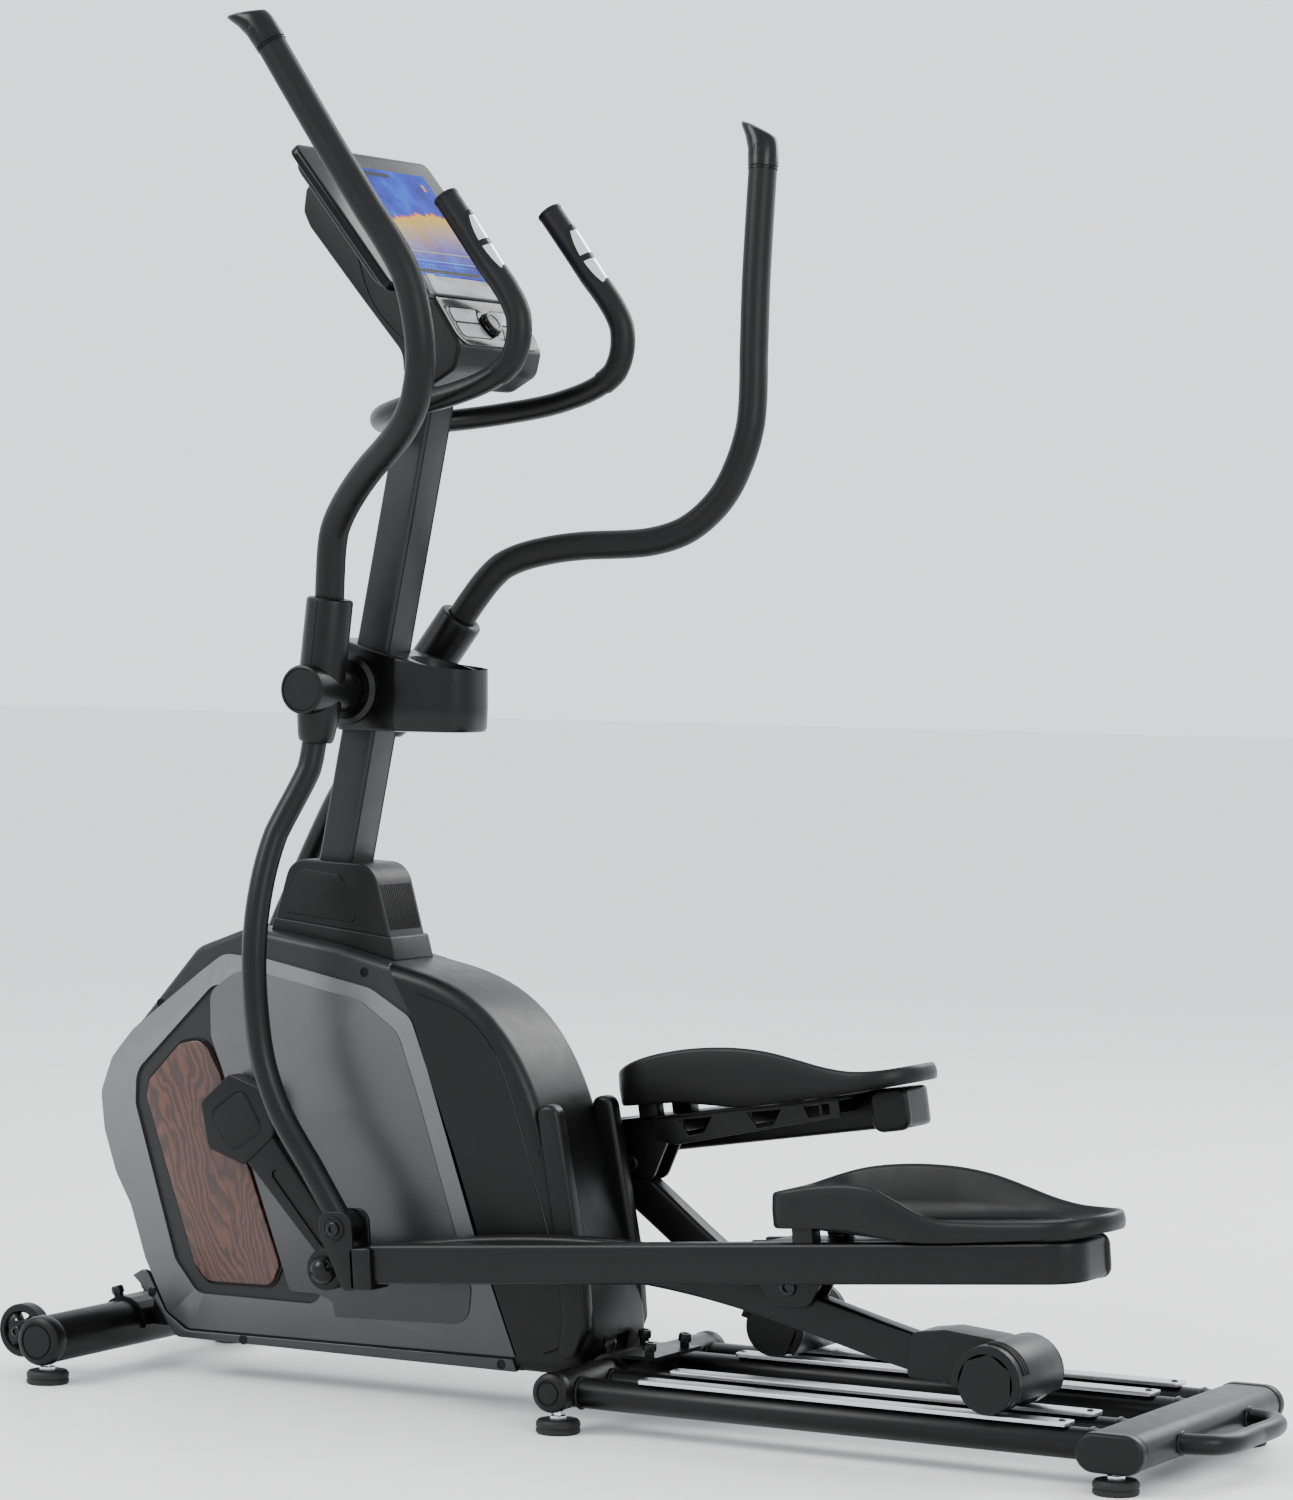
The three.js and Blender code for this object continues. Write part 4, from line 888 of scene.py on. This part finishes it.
def console():
    tablet = rounded([(-122, -160, 14), (112, -160, 14), (112, 160, 14), (-122, 160, 14)], 8)
    emit("tablet", prism(tablet, -13, 0.4, 3, "XY"), GLOSS_BLACK, place=SCREEN)
    back = rounded([(-112, -150, 24), (100, -150, 24), (100, 150, 24), (-112, 150, 24)], 8)
    emit("tablet_back", prism(back, -23, -10, 6, "XY"), PLASTIC, place=SCREEN)
    glass = rounded([(-95, -116, 2), (87, -116, 2), (87, 124, 2), (-95, 124, 2)], 3)
    emit("display_glass", prism(glass, 0, 1.2, 0.3, "XY", segments=1), DISPLAY, ["console_screen"], SCREEN)
    side_view = rounded([(-276, 1410, 6), (-245, 1401, 8), (-207, 1343, 16), (-214, 1312, 18),
        (-252, 1290, 24), (-290, 1296, 24), (-294, 1334, 30), (-364, 1414, 90), (-434, 1496, 24),
        (-444, 1516, 16), (-440, 1548, 14), (-408, 1562, 12)], 8)
    pod = prism(side_view, -104, 104, 16, segments=6)
    wells = [prism(key_outline(up, y, 0.8), -8, 30, 0, "XY") for y in (-62, 62) for up in (13, -13)]
    wells.append(lathe([(0, -5), (17, -5), (17, 30), (0, 30)], 36))
    for well in wells:
        well.transform(KEYPAD)
    post = mast_slot(1278, -60, 44)
    emit("console_pod", carved(pod, [*wells, post]), PLASTIC, ["console_body"])
    for side, s in BOTH:
        seam = smooth_path([(-424, s * 103.4, 1546), (-400, s * 104, 1520), (-366, s * 104, 1474),
            (-349, s * 104, 1424), (-330, s * 104, 1388), (-290, s * 104, 1350), (-252, s * 104, 1322),
            (-216, s * 101, 1322)], 6)
        emit(f"pod_seam_{side}", tube(seam, 0.9, 8, 0.3), GLOSS_BLACK)
    keys = rounded([(-42, -101, 10), (34, -101, 22), (34, 101, 22), (-42, 101, 10)], 8)
    holes = [key_outline(up, y, 0.8) for y in (-62, 62) for up in (13, -13)]
    holes.append(circle(17.4))
    emit("keypad", prism(keys, -1.5, 1.2, 0.8, "XY", holes=holes), GLOSS_BLACK, place=KEYPAD)
    ledge = rounded([(-72, -100, 4), (-40, -104, 8), (-40, 104, 8), (-72, 100, 4), (-72, 78, 3), (-64, 74, 3),
        (-64, -74, 3), (-72, -78, 3)], 4)
    emit("console_ledge", prism(ledge, -3, 5, 1.6, "XY"), GREY, place=KEYPAD)
    for place, y, up in (("upper_left", -62, 13), ("lower_left", -62, -13), ("upper_right", 62, 13),
                         ("lower_right", 62, -13)):
        emit(f"key_{place}", prism(key_outline(up, y, 0), -4, 2, 1, "XY"), GREY, [f"button_{place}"], KEYPAD,
            body=f"key_{place}")
    dial = [(0, -4.5), (15.4, -4.5), (16, -3.5), (16, 2), (15.2, 3), (15, 7.5), (13.8, 9.4), (10.5, 9.5),
        (9.4, 8.6), (0, 8.4)]
    emit("dial", lathe(dial, 48), SMOOTH_PLASTIC, ["console_knob"], KEYPAD, body="knob")
    for k in range(16):
        a = k * PI / 8
        ridge = block((14.7, 15.7), (-0.8, 0.8), (3, 7.6), 0.3, 1)
        emit(f"dial_ridge_{k + 1}", ridge, SMOOTH_PLASTIC, place=KEYPAD @ Matrix.Rotation(a, 4, "Z"),
            body="knob")
    pointer = block((-9, -4), (-0.8, 0.8), (8.2, 8.9), 0.2, 1)
    emit("dial_pointer", pointer, GREY, place=KEYPAD, body="knob")


# ---- Swing arms ----

HANDLE = [
    (26, 110, 115), (34, 148, 118), (50, 197, 125), (88, 235, 141), (138, 267, 163), (198, 298, 190),
    (238, 334, 209), (260, 385, 222), (264, 432, 228), (256, 493, 232), (220, 571, 241), (177, 661, 251),
    (115, 800, 268)
]
LOWER = [
    (-16, -60, 115), (-25, -100, 122), (-65, -177, 151), (-84, -250, 172), (-95, -330, 184),
    (-99, -410, 185), (-95, -470, 185), (-76, -535, 185), (-42, -598, 185), (0, -680.6, 185)
]
PIVOT_DROP = 680.6
# Rings of the grip's end cap: rise, half length, half width, shift ahead, slant.
GRIP_CAP = [
    (-4, 18.6, 18.6, 0, 0), (-3.4, 20, 20, 0, 0), (0, 20.2, 20.2, 0, 0), (18, 20.4, 19.4, 1, 1),
    (32, 22.5, 18.6, 4, 6), (42, 25, 17.8, 8, 10), (45.5, 25, 16.8, 9, 11), (47, 22.6, 14.4, 8.4, 10.6),
    (47.8, 12, 7, 7, 6)
]


def swing_arm(side, s, data):
    place = hinge_frame(*SWING_AXIS, data["swing"])
    body = f"swing_{side}"
    add = adder(side, body, place)
    barrel = [(10.8, 62), (27, 62), (29.5, 63.5), (29.5, 84), (31.6, 86), (31.6, 158), (31, 160.4),
        (29, 161.8), (27.6, 162), (27, 161), (10.8, 161)]
    add("swing_barrel", lathe(barrel, 52, loop=True), POWDER, [f"swing_arm_{side}"], along_y(0, 0, s))
    cap = [(0, 154), (26.6, 154), (26.6, 161), (25.4, 162), (0, 162)]
    add("swing_barrel_cap", lathe(cap, 44), PLASTIC, at=along_y(0, 0, s))
    up = Vector((28, 0, 116))
    sleeve = [(0, -8), (30, -8), (30, 112), (29.4, 115), (27, 117), (21.4, 117.6), (20.4, 117), (0, 117)]
    add("swing_sleeve", lathe(sleeve, 44), POWDER, at=aimed((0, s * 115, 0), up))
    cone = [(0, -2), (30, -2), (29.6, 8), (27.2, 34), (24, 58), (22.4, 65), (20.4, 67.6), (16.6, 68), (0, 68)]
    add("swing_cone", lathe(cone, 44), POWDER, at=aimed((0, s * 115, 0), (-15.5, 0, -66)))
    edge_way = up.cross(Vector((0, 1, 0))).cross(up).normalized() * s
    seam = [place @ (Vector((0, s * 115, 0)) + up.normalized() * t + edge_way * 29.9) for t in (34, 70, 114)]
    emit(f"sleeve_seam_{side}", tube(seam, 0.7, 8, 0.2), GLOSS_BLACK, body=body)
    line = [(x, s * y, z) for x, z, y in LOWER]
    add("swing_tube", tube(smooth_path(line, 7), 15.8, 28), POWDER)
    bush = [(8.8, 168.6), (18.5, 168.6), (20.5, 170.5), (20.5, 199.5), (18.5, 201.4), (8.8, 201.4)]
    add("swing_bush", lathe(bush, 40, loop=True), POWDER, at=along_y(0, -PIVOT_DROP, s))
    grip = smooth_path([(x, s * y, z) for x, z, y in HANDLE], 7)
    add("grip", tube(grip, 18.8, 32), GRIP, [f"handlebar_{side}"])
    root = Vector((115, s * 268, 800))
    axis = Vector((-62, s * 17, 139)).normalized()
    ahead = (Vector((-1, 0, 0)) - axis * -axis.x).normalized()
    out = axis.cross(ahead)
    rings = []
    for rise, long, wide, shift, slant in GRIP_CAP:
        rings.append([])
        for a in (2 * PI * k / 36 for k in range(36)):
            spot = root + axis * (rise + slant * math.cos(a)) + ahead * (shift + long * math.cos(a))
            rings[-1].append(spot + out * wide * math.sin(a))
    add("grip_cap", skin(rings), SMOOTH_PLASTIC)
    add("grip_ring", lathe([(18.2, -1), (20, -0.6), (20, 0.6), (18.2, 1)], 36, loop=True), GLOSS_BLACK,
        at=aimed((117.6, s * 267.3, 794), Vector((-62, s * 17, 139))))
    for k in range(4):
        forward = 13.4 - 4.2 * k
        depth = 19.4 * math.sin(math.acos(forward / 20.6)) - 0.6
        for way in (1, -1):
            at = root + axis * 15 + ahead * forward + out * way * depth
            slot = tube([at - axis * 9, at, at + axis * 9], 1.1, 10, 0.4)
            add(f"grip_cap_slot_{k + 1}_{'outer' if way > 0 else 'inner'}", slot, GLOSS_BLACK)


# ---- Pedal arms ----

PEDAL_JOINT = (608, -79)


def pedal_arm(side, s, data):
    place = hinge_frame(*data["front"], data["pedal"])
    body = f"pedal_set_{side}"
    add = adder(side, body, place)
    bend = rounded([(46, s * 200), (1010, s * 200, 66), (1010, s * 112), (964, s * 112), (964, s * 170, 30),
        (46, s * 170)], 10)
    add("pedal_beam", prism(bend, -71, -21, 6, "XY", segments=4), POWDER, [f"pedal_arm_{side}"])
    oval = rounded([(961, -73, 15), (1013, -73, 15), (1013, -19, 15), (961, -19, 15)], 7)
    add("pedal_beam_cap", prism(oval, s * 101, s * 114, 5, segments=4), PLASTIC)
    ear = rounded([(-22, 22, 20), (26, 22, 20), (26, -78, 4), (8, -78, 8), (-22, -8, 18)], 8)
    for k, (a, b) in enumerate(((162, 167.5), (202.5, 208))):
        add(f"clevis_ear_{k + 1}", prism(ear, s * a, s * b, 1.4), POWDER)
    web = block((18, 50), span(s, 162, 208), (-78, -24), 3.5, 3)
    add("clevis_web", web, POWDER)
    add("clevis_pin", turned(8, 163, 207, 1, 32), STEEL, at=along_y(0, 0, s))
    washer = [(6, 207.8), (15, 207.8), (15.6, 208.6), (15, 210), (13.4, 210.4), (12.6, 209.6), (6, 209.6)]
    add("clevis_washer", lathe(washer, 36, loop=True), POWDER, at=along_y(0, 0, s))
    screw(f"clevis_screw_{side}", (0, s * 209.4, 0), (0, s, 0), 9, 4, body, place=place)
    gusset = rounded([(560, -22, 4), (664, -22, 4), (664, -56, 14), (634, -104, 18), (586, -104, 20),
        (560, -66, 14)], 7)
    for k, (a, b) in enumerate(((107, 112.5), (145.5, 151))):
        add(f"gusset_{k + 1}", prism(gusset, s * a, s * b, 1.4), POWDER)
    for k, (y, way) in enumerate(((151, 1), (107, -1))):
        at = (PEDAL_JOINT[0], s * y, PEDAL_JOINT[1])
        screw(f"gusset_screw_{k + 1}_{side}", at, (0, s * way, 0), 11, 5, body, place=place)
    bridge = rounded([(592, s * 107, 4), (664, s * 107), (664, s * 78, 4), (930, s * 78, 4), (930, s * 172),
        (592, s * 172)], 4)
    add("foot_bridge", prism(bridge, -26, -21.2, 1, "XY"), POWDER)
    wall = [Vector(p) for p in ((664, -23), (930, -23), (930, -46), (690, -60), (664, -52))]
    windows = [((x, -29), (x + 48, -29), (x + 34, -48), (x + 12, -50)) for x in (700, 800)]
    windows.append(((880, -29), (916, -29), (916, -42), (886, -44)))
    add("foot_channel", prism(wall, s * 78, s * 82, 1, holes=windows), POWDER)
    for k, x in enumerate((700, 800, 900)):
        add(f"foot_rib_{k + 1}", block((x, x + 5), span(s, 80, 172), (-44, -24), 1), POWDER)
    add("pedal_post", block((640, 668), span(s, 173, 197), (-22, 8), 2), PLASTIC)
    add("pedal_post_inner", block((640, 668), span(s, 84, 104), (-22, 8), 2), PLASTIC)
    pedal(s, add, f"pedal_{side}")


def level(x, points):
    """Height at x of a smooth line through (x, height) points."""
    x = min(max(x, points[0][0]), points[-1][0])
    slopes = [(b[1] - a[1]) / (b[0] - a[0]) for a, b in zip(points, points[1:])]
    ends = [slopes[0]] + [(a + b) / 2 for a, b in zip(slopes, slopes[1:])] + [slopes[-1]]
    for i, ((x0, h0), (x1, h1)) in enumerate(zip(points, points[1:])):
        if x <= x1:
            w, t = x1 - x0, (x - x0) / (x1 - x0)
            return (h0 * (1 + 2 * t) * (1 - t) ** 2 + ends[i] * w * t * (1 - t) ** 2 + h1 * t * t
                * (3 - 2 * t) + ends[i + 1] * w * t * t * (t - 1))
    return points[-1][1]


INNER_CREST = [
    (607, 39), (640, 49), (680, 57), (725, 60), (765, 59), (810, 54), (850, 45), (890, 31), (925, 18),
    (960, 9), (1000, 6), (1036, 7)
]
OUTER_RIM = [
    (607, 39), (640, 44), (680, 48.5), (725, 49), (750, 45), (780, 31), (810, 15), (840, 6), (880, 3),
    (940, 2), (1000, 3), (1036, 7)
]
UNDERSIDE = [(607, -4), (715, -6), (750, -12), (795, -20), (905, -20.5), (960, -19), (1036, -15)]
FLOOR = -6.0


def pedal(s, add, node):
    """The foot plate: a tray with a high inner crest, a low outer rim and a raised tread towards the heel."""
    plan = rounded([(608, 56, 66), (800, 51, 200), (1036, 56, 72), (1036, 202, 72), (800, 207, 200),
        (608, 202, 30)], 12)
    dense = []
    for i, p in enumerate(plan):
        q = plan[(i + 1) % len(plan)]
        cuts = max(1, round((q - p).length / 9))
        dense += [p.lerp(q, k / cuts) for k in range(cuts)]

    def ring(inset, height):
        return [(p.x, s * p.y, height(q.x, q.y)) for p, q in zip(grown(dense, -inset), dense)]

    def rim(x, y):
        share = min(1.0, max(0.0, (y - 62) / 134))
        share = share * share * (3 - 2 * share)
        return level(x, INNER_CREST) * (1 - share) + level(x, OUTER_RIM) * share

    def under(x, y):
        return level(x, UNDERSIDE)

    def floor(x, y):
        return FLOOR + max(0.0, 690 - x) * 0.12

    rings = [ring(7, under), ring(2.5, lambda x, y: under(x, y) + 0.6), ring(0.6, lambda x,
        y: under(x, y) + 4), ring(0, lambda x, y: (under(x, y) + rim(x, y)) / 2),
        ring(1.2, lambda x, y: rim(x, y) - 5), ring(2.6, lambda x, y: rim(x, y) - 1.5), ring(5, rim),
        ring(8, lambda x, y: rim(x, y) - 1.2), ring(10.5, lambda x, y: max(floor(x, y) + 1, rim(x, y) - 5)),
        ring(15, lambda x, y: floor(x, y) + max(0.5, (rim(x, y) - floor(x, y)) * 0.35)),
        ring(22, lambda x, y: floor(x, y) + max(0.2, (rim(x, y) - floor(x, y)) * 0.07)), ring(31, floor)]
    bm = skin(rings)
    add("foot_plate", bm, PLASTIC, [node], crease=50)
    tread = bmesh.new()
    for row in range(11):
        x = 800 + row * 18.5
        for column in range(4):
            y = 92 + column * 21 + (10 if row % 2 else 0)
            if math.hypot(max(0, x + 7 - 960), y + 7 - 129) > 46 or y > 164:
                continue
            bar = block((x, x + 13), (y, y + 15), (FLOOR - 2, FLOOR + 1.7), 1.2, 2)
            for v in bar.verts:
                v.co = Vector((v.co.x + (v.co.y - y) * 0.35, s * v.co.y, v.co.z))
            held = bpy.data.meshes.new("bar")
            bar.to_mesh(held)
            tread.from_mesh(held)
            bar.free()
            bpy.data.meshes.remove(held)
    add("tread", tread, GRIP)


# ---- Roller arms ----

ARM_LENGTH = 948


def roller_arm(side, s, data):
    place = hinge_frame(*data["roller"], data["arm"])
    body = f"roller_beam_{side}"
    add = adder(side, body, place)
    tip = -ARM_LENGTH
    line = smooth_path([(x, z, 0) for x, z in ((tip, 0), (tip + 200, 44), (tip + 420, 68), (tip + 600, 55),
        (tip + 780, 22), (-30, -2))], 16)
    left, right = [], []
    for i, p in enumerate(line):
        d = (line[min(i + 1, len(line) - 1)] - line[max(i - 1, 0)]).normalized()
        n = Vector((-d.y, d.x, 0)) * (24.5 - 4 * abs(i / len(line) - 0.5))
        left.append(Vector((p.x + n.x, p.y + n.y)))
        right.insert(0, Vector((p.x - n.x, p.y - n.y)))
    add("roller_beam", prism(left + right, s * 114, s * 144, 6, segments=4), POWDER, [f"roller_arm_{side}"])
    add("beam_eye", turned(27, 112.6, 146, 2, 44), POWDER, at=along_y(tip, 0, s))
    add("beam_pivot", turned(20, 113.4, 144.6, 1.5, 40), POWDER, at=along_y(-286, 70, s))
    add("crank_pin", turned(10, 108.9, 114, 0.8, 32), STEEL, at=along_y(tip, 0, s))
    ball = [(18.4 * math.sin(a * PI / 14), 148 - 17.5 * math.cos(a * PI / 14)) for a in range(4, 14)]
    add("ball_cap", lathe([(0, 140), *ball, (0, 165.5)], 40), SMOOTH_PLASTIC, at=along_y(tip, 0, s))
    turns = [math.radians(-22 + k * 214 / 18) for k in range(19)]
    outer = [Vector((45 * math.cos(a), 45 * math.sin(a))) for a in turns]
    hood = outer + [Vector((41 * math.cos(a), 41 * math.sin(a))) for a in turns[::-1]]
    add("fork_hood", prism(hood, s * 68, s * 189, 1.2), PLASTIC)
    neck = rounded([(-118, -14, 8), (-118, 40, 14), (-74, 49, 30), (-10, 47, 20), (6, 42, 4), (-36, 18, 8),
        (-46, -12, 12)], 7)
    add("fork_neck", prism(neck, s * 100, s * 158, 9, segments=4), PLASTIC)
    for k, (y0, y1) in enumerate(((64, 71), (186, 193))):
        disc = [(0, y0), (35, y0), (36.2, y0 + 1), (36.8, y0 + 3), (36.8, y1 - 3), (36.2, y1 - 1), (35, y1),
            (0, y1)]
        add(f"fork_disc_{k + 1}", lathe(disc, 56), PLASTIC, at=along_y(0, 0, s))
        lower = [math.radians(a) for a in (192, 140, 85, 30, -22)]
        cheek = outer + [Vector((34 * math.cos(a), 34 * math.sin(a))) for a in lower]
        add(f"fork_cheek_{k + 1}", prism(cheek, s * y0, s * y1, 1.6), PLASTIC)
    for k in range(3):
        angles = [math.radians(a) for a in range(18, 106, 8)]
        arc = [Vector((45.2 * math.cos(a), s * (165 + 6.5 * k), 45.2 * math.sin(a))) for a in angles]
        add(f"hood_rib_{k + 1}", tube(arc, 2.1, 10, 0.5), PLASTIC)
    axle = turned(8, 66.6, 190.4, 0.8, 32)
    emit(f"roller_shaft_{side}", axle, STEEL, [f"roller_axle_{side}"], place @ along_y(0, 0, s),
        body=f"roller_carrier_{side}")
    for k, y in enumerate((88, 169.5)):
        wheel = [(8.8, y - 12), (30, y - 12), (31, y - 10.6), (33.4, y - 10.6), (34.4, y - 12),
            (36, y - 11.4), (37.7, y - 8.5), (37.7, y + 8.5), (36, y + 11.4), (34.4, y + 12),
            (33.4, y + 10.6), (31, y + 10.6), (30, y + 12), (8.8, y + 12)]
        emit(f"roller_{k + 1}_{side}", lathe(wheel, 52, loop=True), SMOOTH_PLASTIC,
            [f"roller_pair_{side}"] if k == 0 else (), place @ along_y(0, 0, s), body=f"rollers_{side}")
    spacer = turned(12, 100.2, 157.4, 0.8, 32, bore=8.8)
    emit(f"roller_spacer_{side}", spacer, PLASTIC, place=place @ along_y(0, 0, s), body=f"rollers_{side}")


def crank_arm(side, s, data):
    add = adder(side, "crank_set", hinge_frame(*CRANK_AXIS, -data["crank"]))
    head = rounded([(60 * math.cos((i + 0.5) * PI / 3), 60 * math.sin((i + 0.5) * PI / 3),
        10) for i in range(6)], 5)
    add("crank_head", prism(head, s * 86, s * 108, 2.6), POWDER, [f"crank_arm_{side}"])
    bar = rounded([(20, -30, 0), (62, -25, 20), (240, -18, 6), (259, -14, 12), (259, 14, 12), (240, 18, 6),
        (62, 25, 20), (20, 30, 0)], 5)
    slot = prism([Vector((u, v)) for u, v in stadium(124, 15, 146, 0)], s * 103.4, s * 112, 0)
    add("crank_bar", carved(prism(bar, s * 87, s * 106, 2.6), [slot]), POWDER)
    tile = rounded([(-31, -27, 13), (27, -33, 15), (34, 22, 13), (-25, 33, 15)], 7)
    # A gloss black ring round the cap, below its face: a painted shadow round the inset cap.
    add("crank_cap_gap", prism(grown(tile, 3.2), s * 104, s * 108.1, 0.3), GLOSS_BLACK)
    add("crank_cap", prism(tile, s * 104, s * 108.4, 1.6), PLASTIC)


def saddles():
    for k, (x, y, z, up) in enumerate(((-8, -46, 90, 1), (-8, 46, 90, 1), (50, -46, 90, 1), (50, 46, 90, 1),
                                       (-764, -34, 96, 1),
                                       (-764, 34, 96, 1))):
        screw(f"saddle_screw_{k + 1}", (x, y, z), (-0.3 if x < -700 else 0.15, 0, up), 8.5, 8, "base")


INNER_LOOKS = {"main_frame": POWDER, "swing_axle": STEEL, "magnet_brake": STEEL, "drive_belt": GRIP,
               "crank_axle": STEEL,
               "drive_pulley": PLASTIC, "flywheel": STEEL, "idler_pulley": STEEL}


def inner_parts():
    for name, look in INNER_LOOKS.items():
        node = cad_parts[name]
        node.data.materials.clear()
        node.data.materials.append(look)
        rim = node.modifiers.new("edge", "BEVEL")
        rim.width, rim.segments, rim.limit_method, rim.angle_limit = 0.001, 2, "ANGLE", math.radians(50)


# ---- Stage ----


def stage():
    bm = bmesh.new()
    bmesh.ops.create_grid(bm, x_segments=2, y_segments=2, size=30)
    floor = to_object(bm, "floor")
    look = material("studio_floor", (0.86, 0.86, 0.86), 0.55, grain=60, bump=0.01, vary=0.01)
    floor.data.materials.append(look)
    world = bpy.data.worlds.new("studio")
    world.use_nodes = True
    world.node_tree.nodes["Background"].inputs["Color"].default_value = (0.95, 0.97, 1.0, 1)
    world.node_tree.nodes["Background"].inputs["Strength"].default_value = 1.7
    bpy.context.scene.world = world
    for name, at, energy, size in (("key", (-2.6, -3.2, 3.6), 190, 2.4), ("fill", (3.4, -2.2, 2.4), 90, 2.2),
                                   ("back", (1.2, 3.6, 3.2), 150, 2.6)):
        data = bpy.data.lights.new(name, "AREA")
        data.energy, data.size = energy, size
        lamp = bpy.data.objects.new(name, data)
        lamp.location = at
        lamp.rotation_euler = (Vector((-0.1, 0, 0.8)) - Vector(at)).to_track_quat("-Z", "Y").to_euler()
        bpy.context.collection.objects.link(lamp)
    data = bpy.data.cameras.new("camera")
    data.lens, data.sensor_width = 117.2, 36
    data.clip_end = 100
    camera = bpy.data.objects.new("camera", data)
    yaw, pitch, roll = math.radians(28.766), math.radians(1.79), math.radians(0.674)
    ahead = Vector((-math.sin(yaw) * math.cos(pitch), math.cos(yaw) * math.cos(pitch), -math.sin(pitch)))
    camera.location = (2.962, -5.377, 1.028)
    camera.rotation_mode = "QUATERNION"
    camera.rotation_quaternion = ahead.to_track_quat("-Z", "Y") @ Matrix.Rotation(roll, 3,
        "Z").to_quaternion()
    bpy.context.collection.objects.link(camera)
    bpy.context.scene.camera = camera


stage()
base_frame()
feet()
housing()
mast()
bottle_holder()
fixed_bar()
console()
for side_name, facts in SIDES.items():
    swing_arm(side_name, facts["s"], facts)
    pedal_arm(side_name, facts["s"], facts)
    roller_arm(side_name, facts["s"], facts)
    crank_arm(side_name, facts["s"], facts)
saddles()
inner_parts()
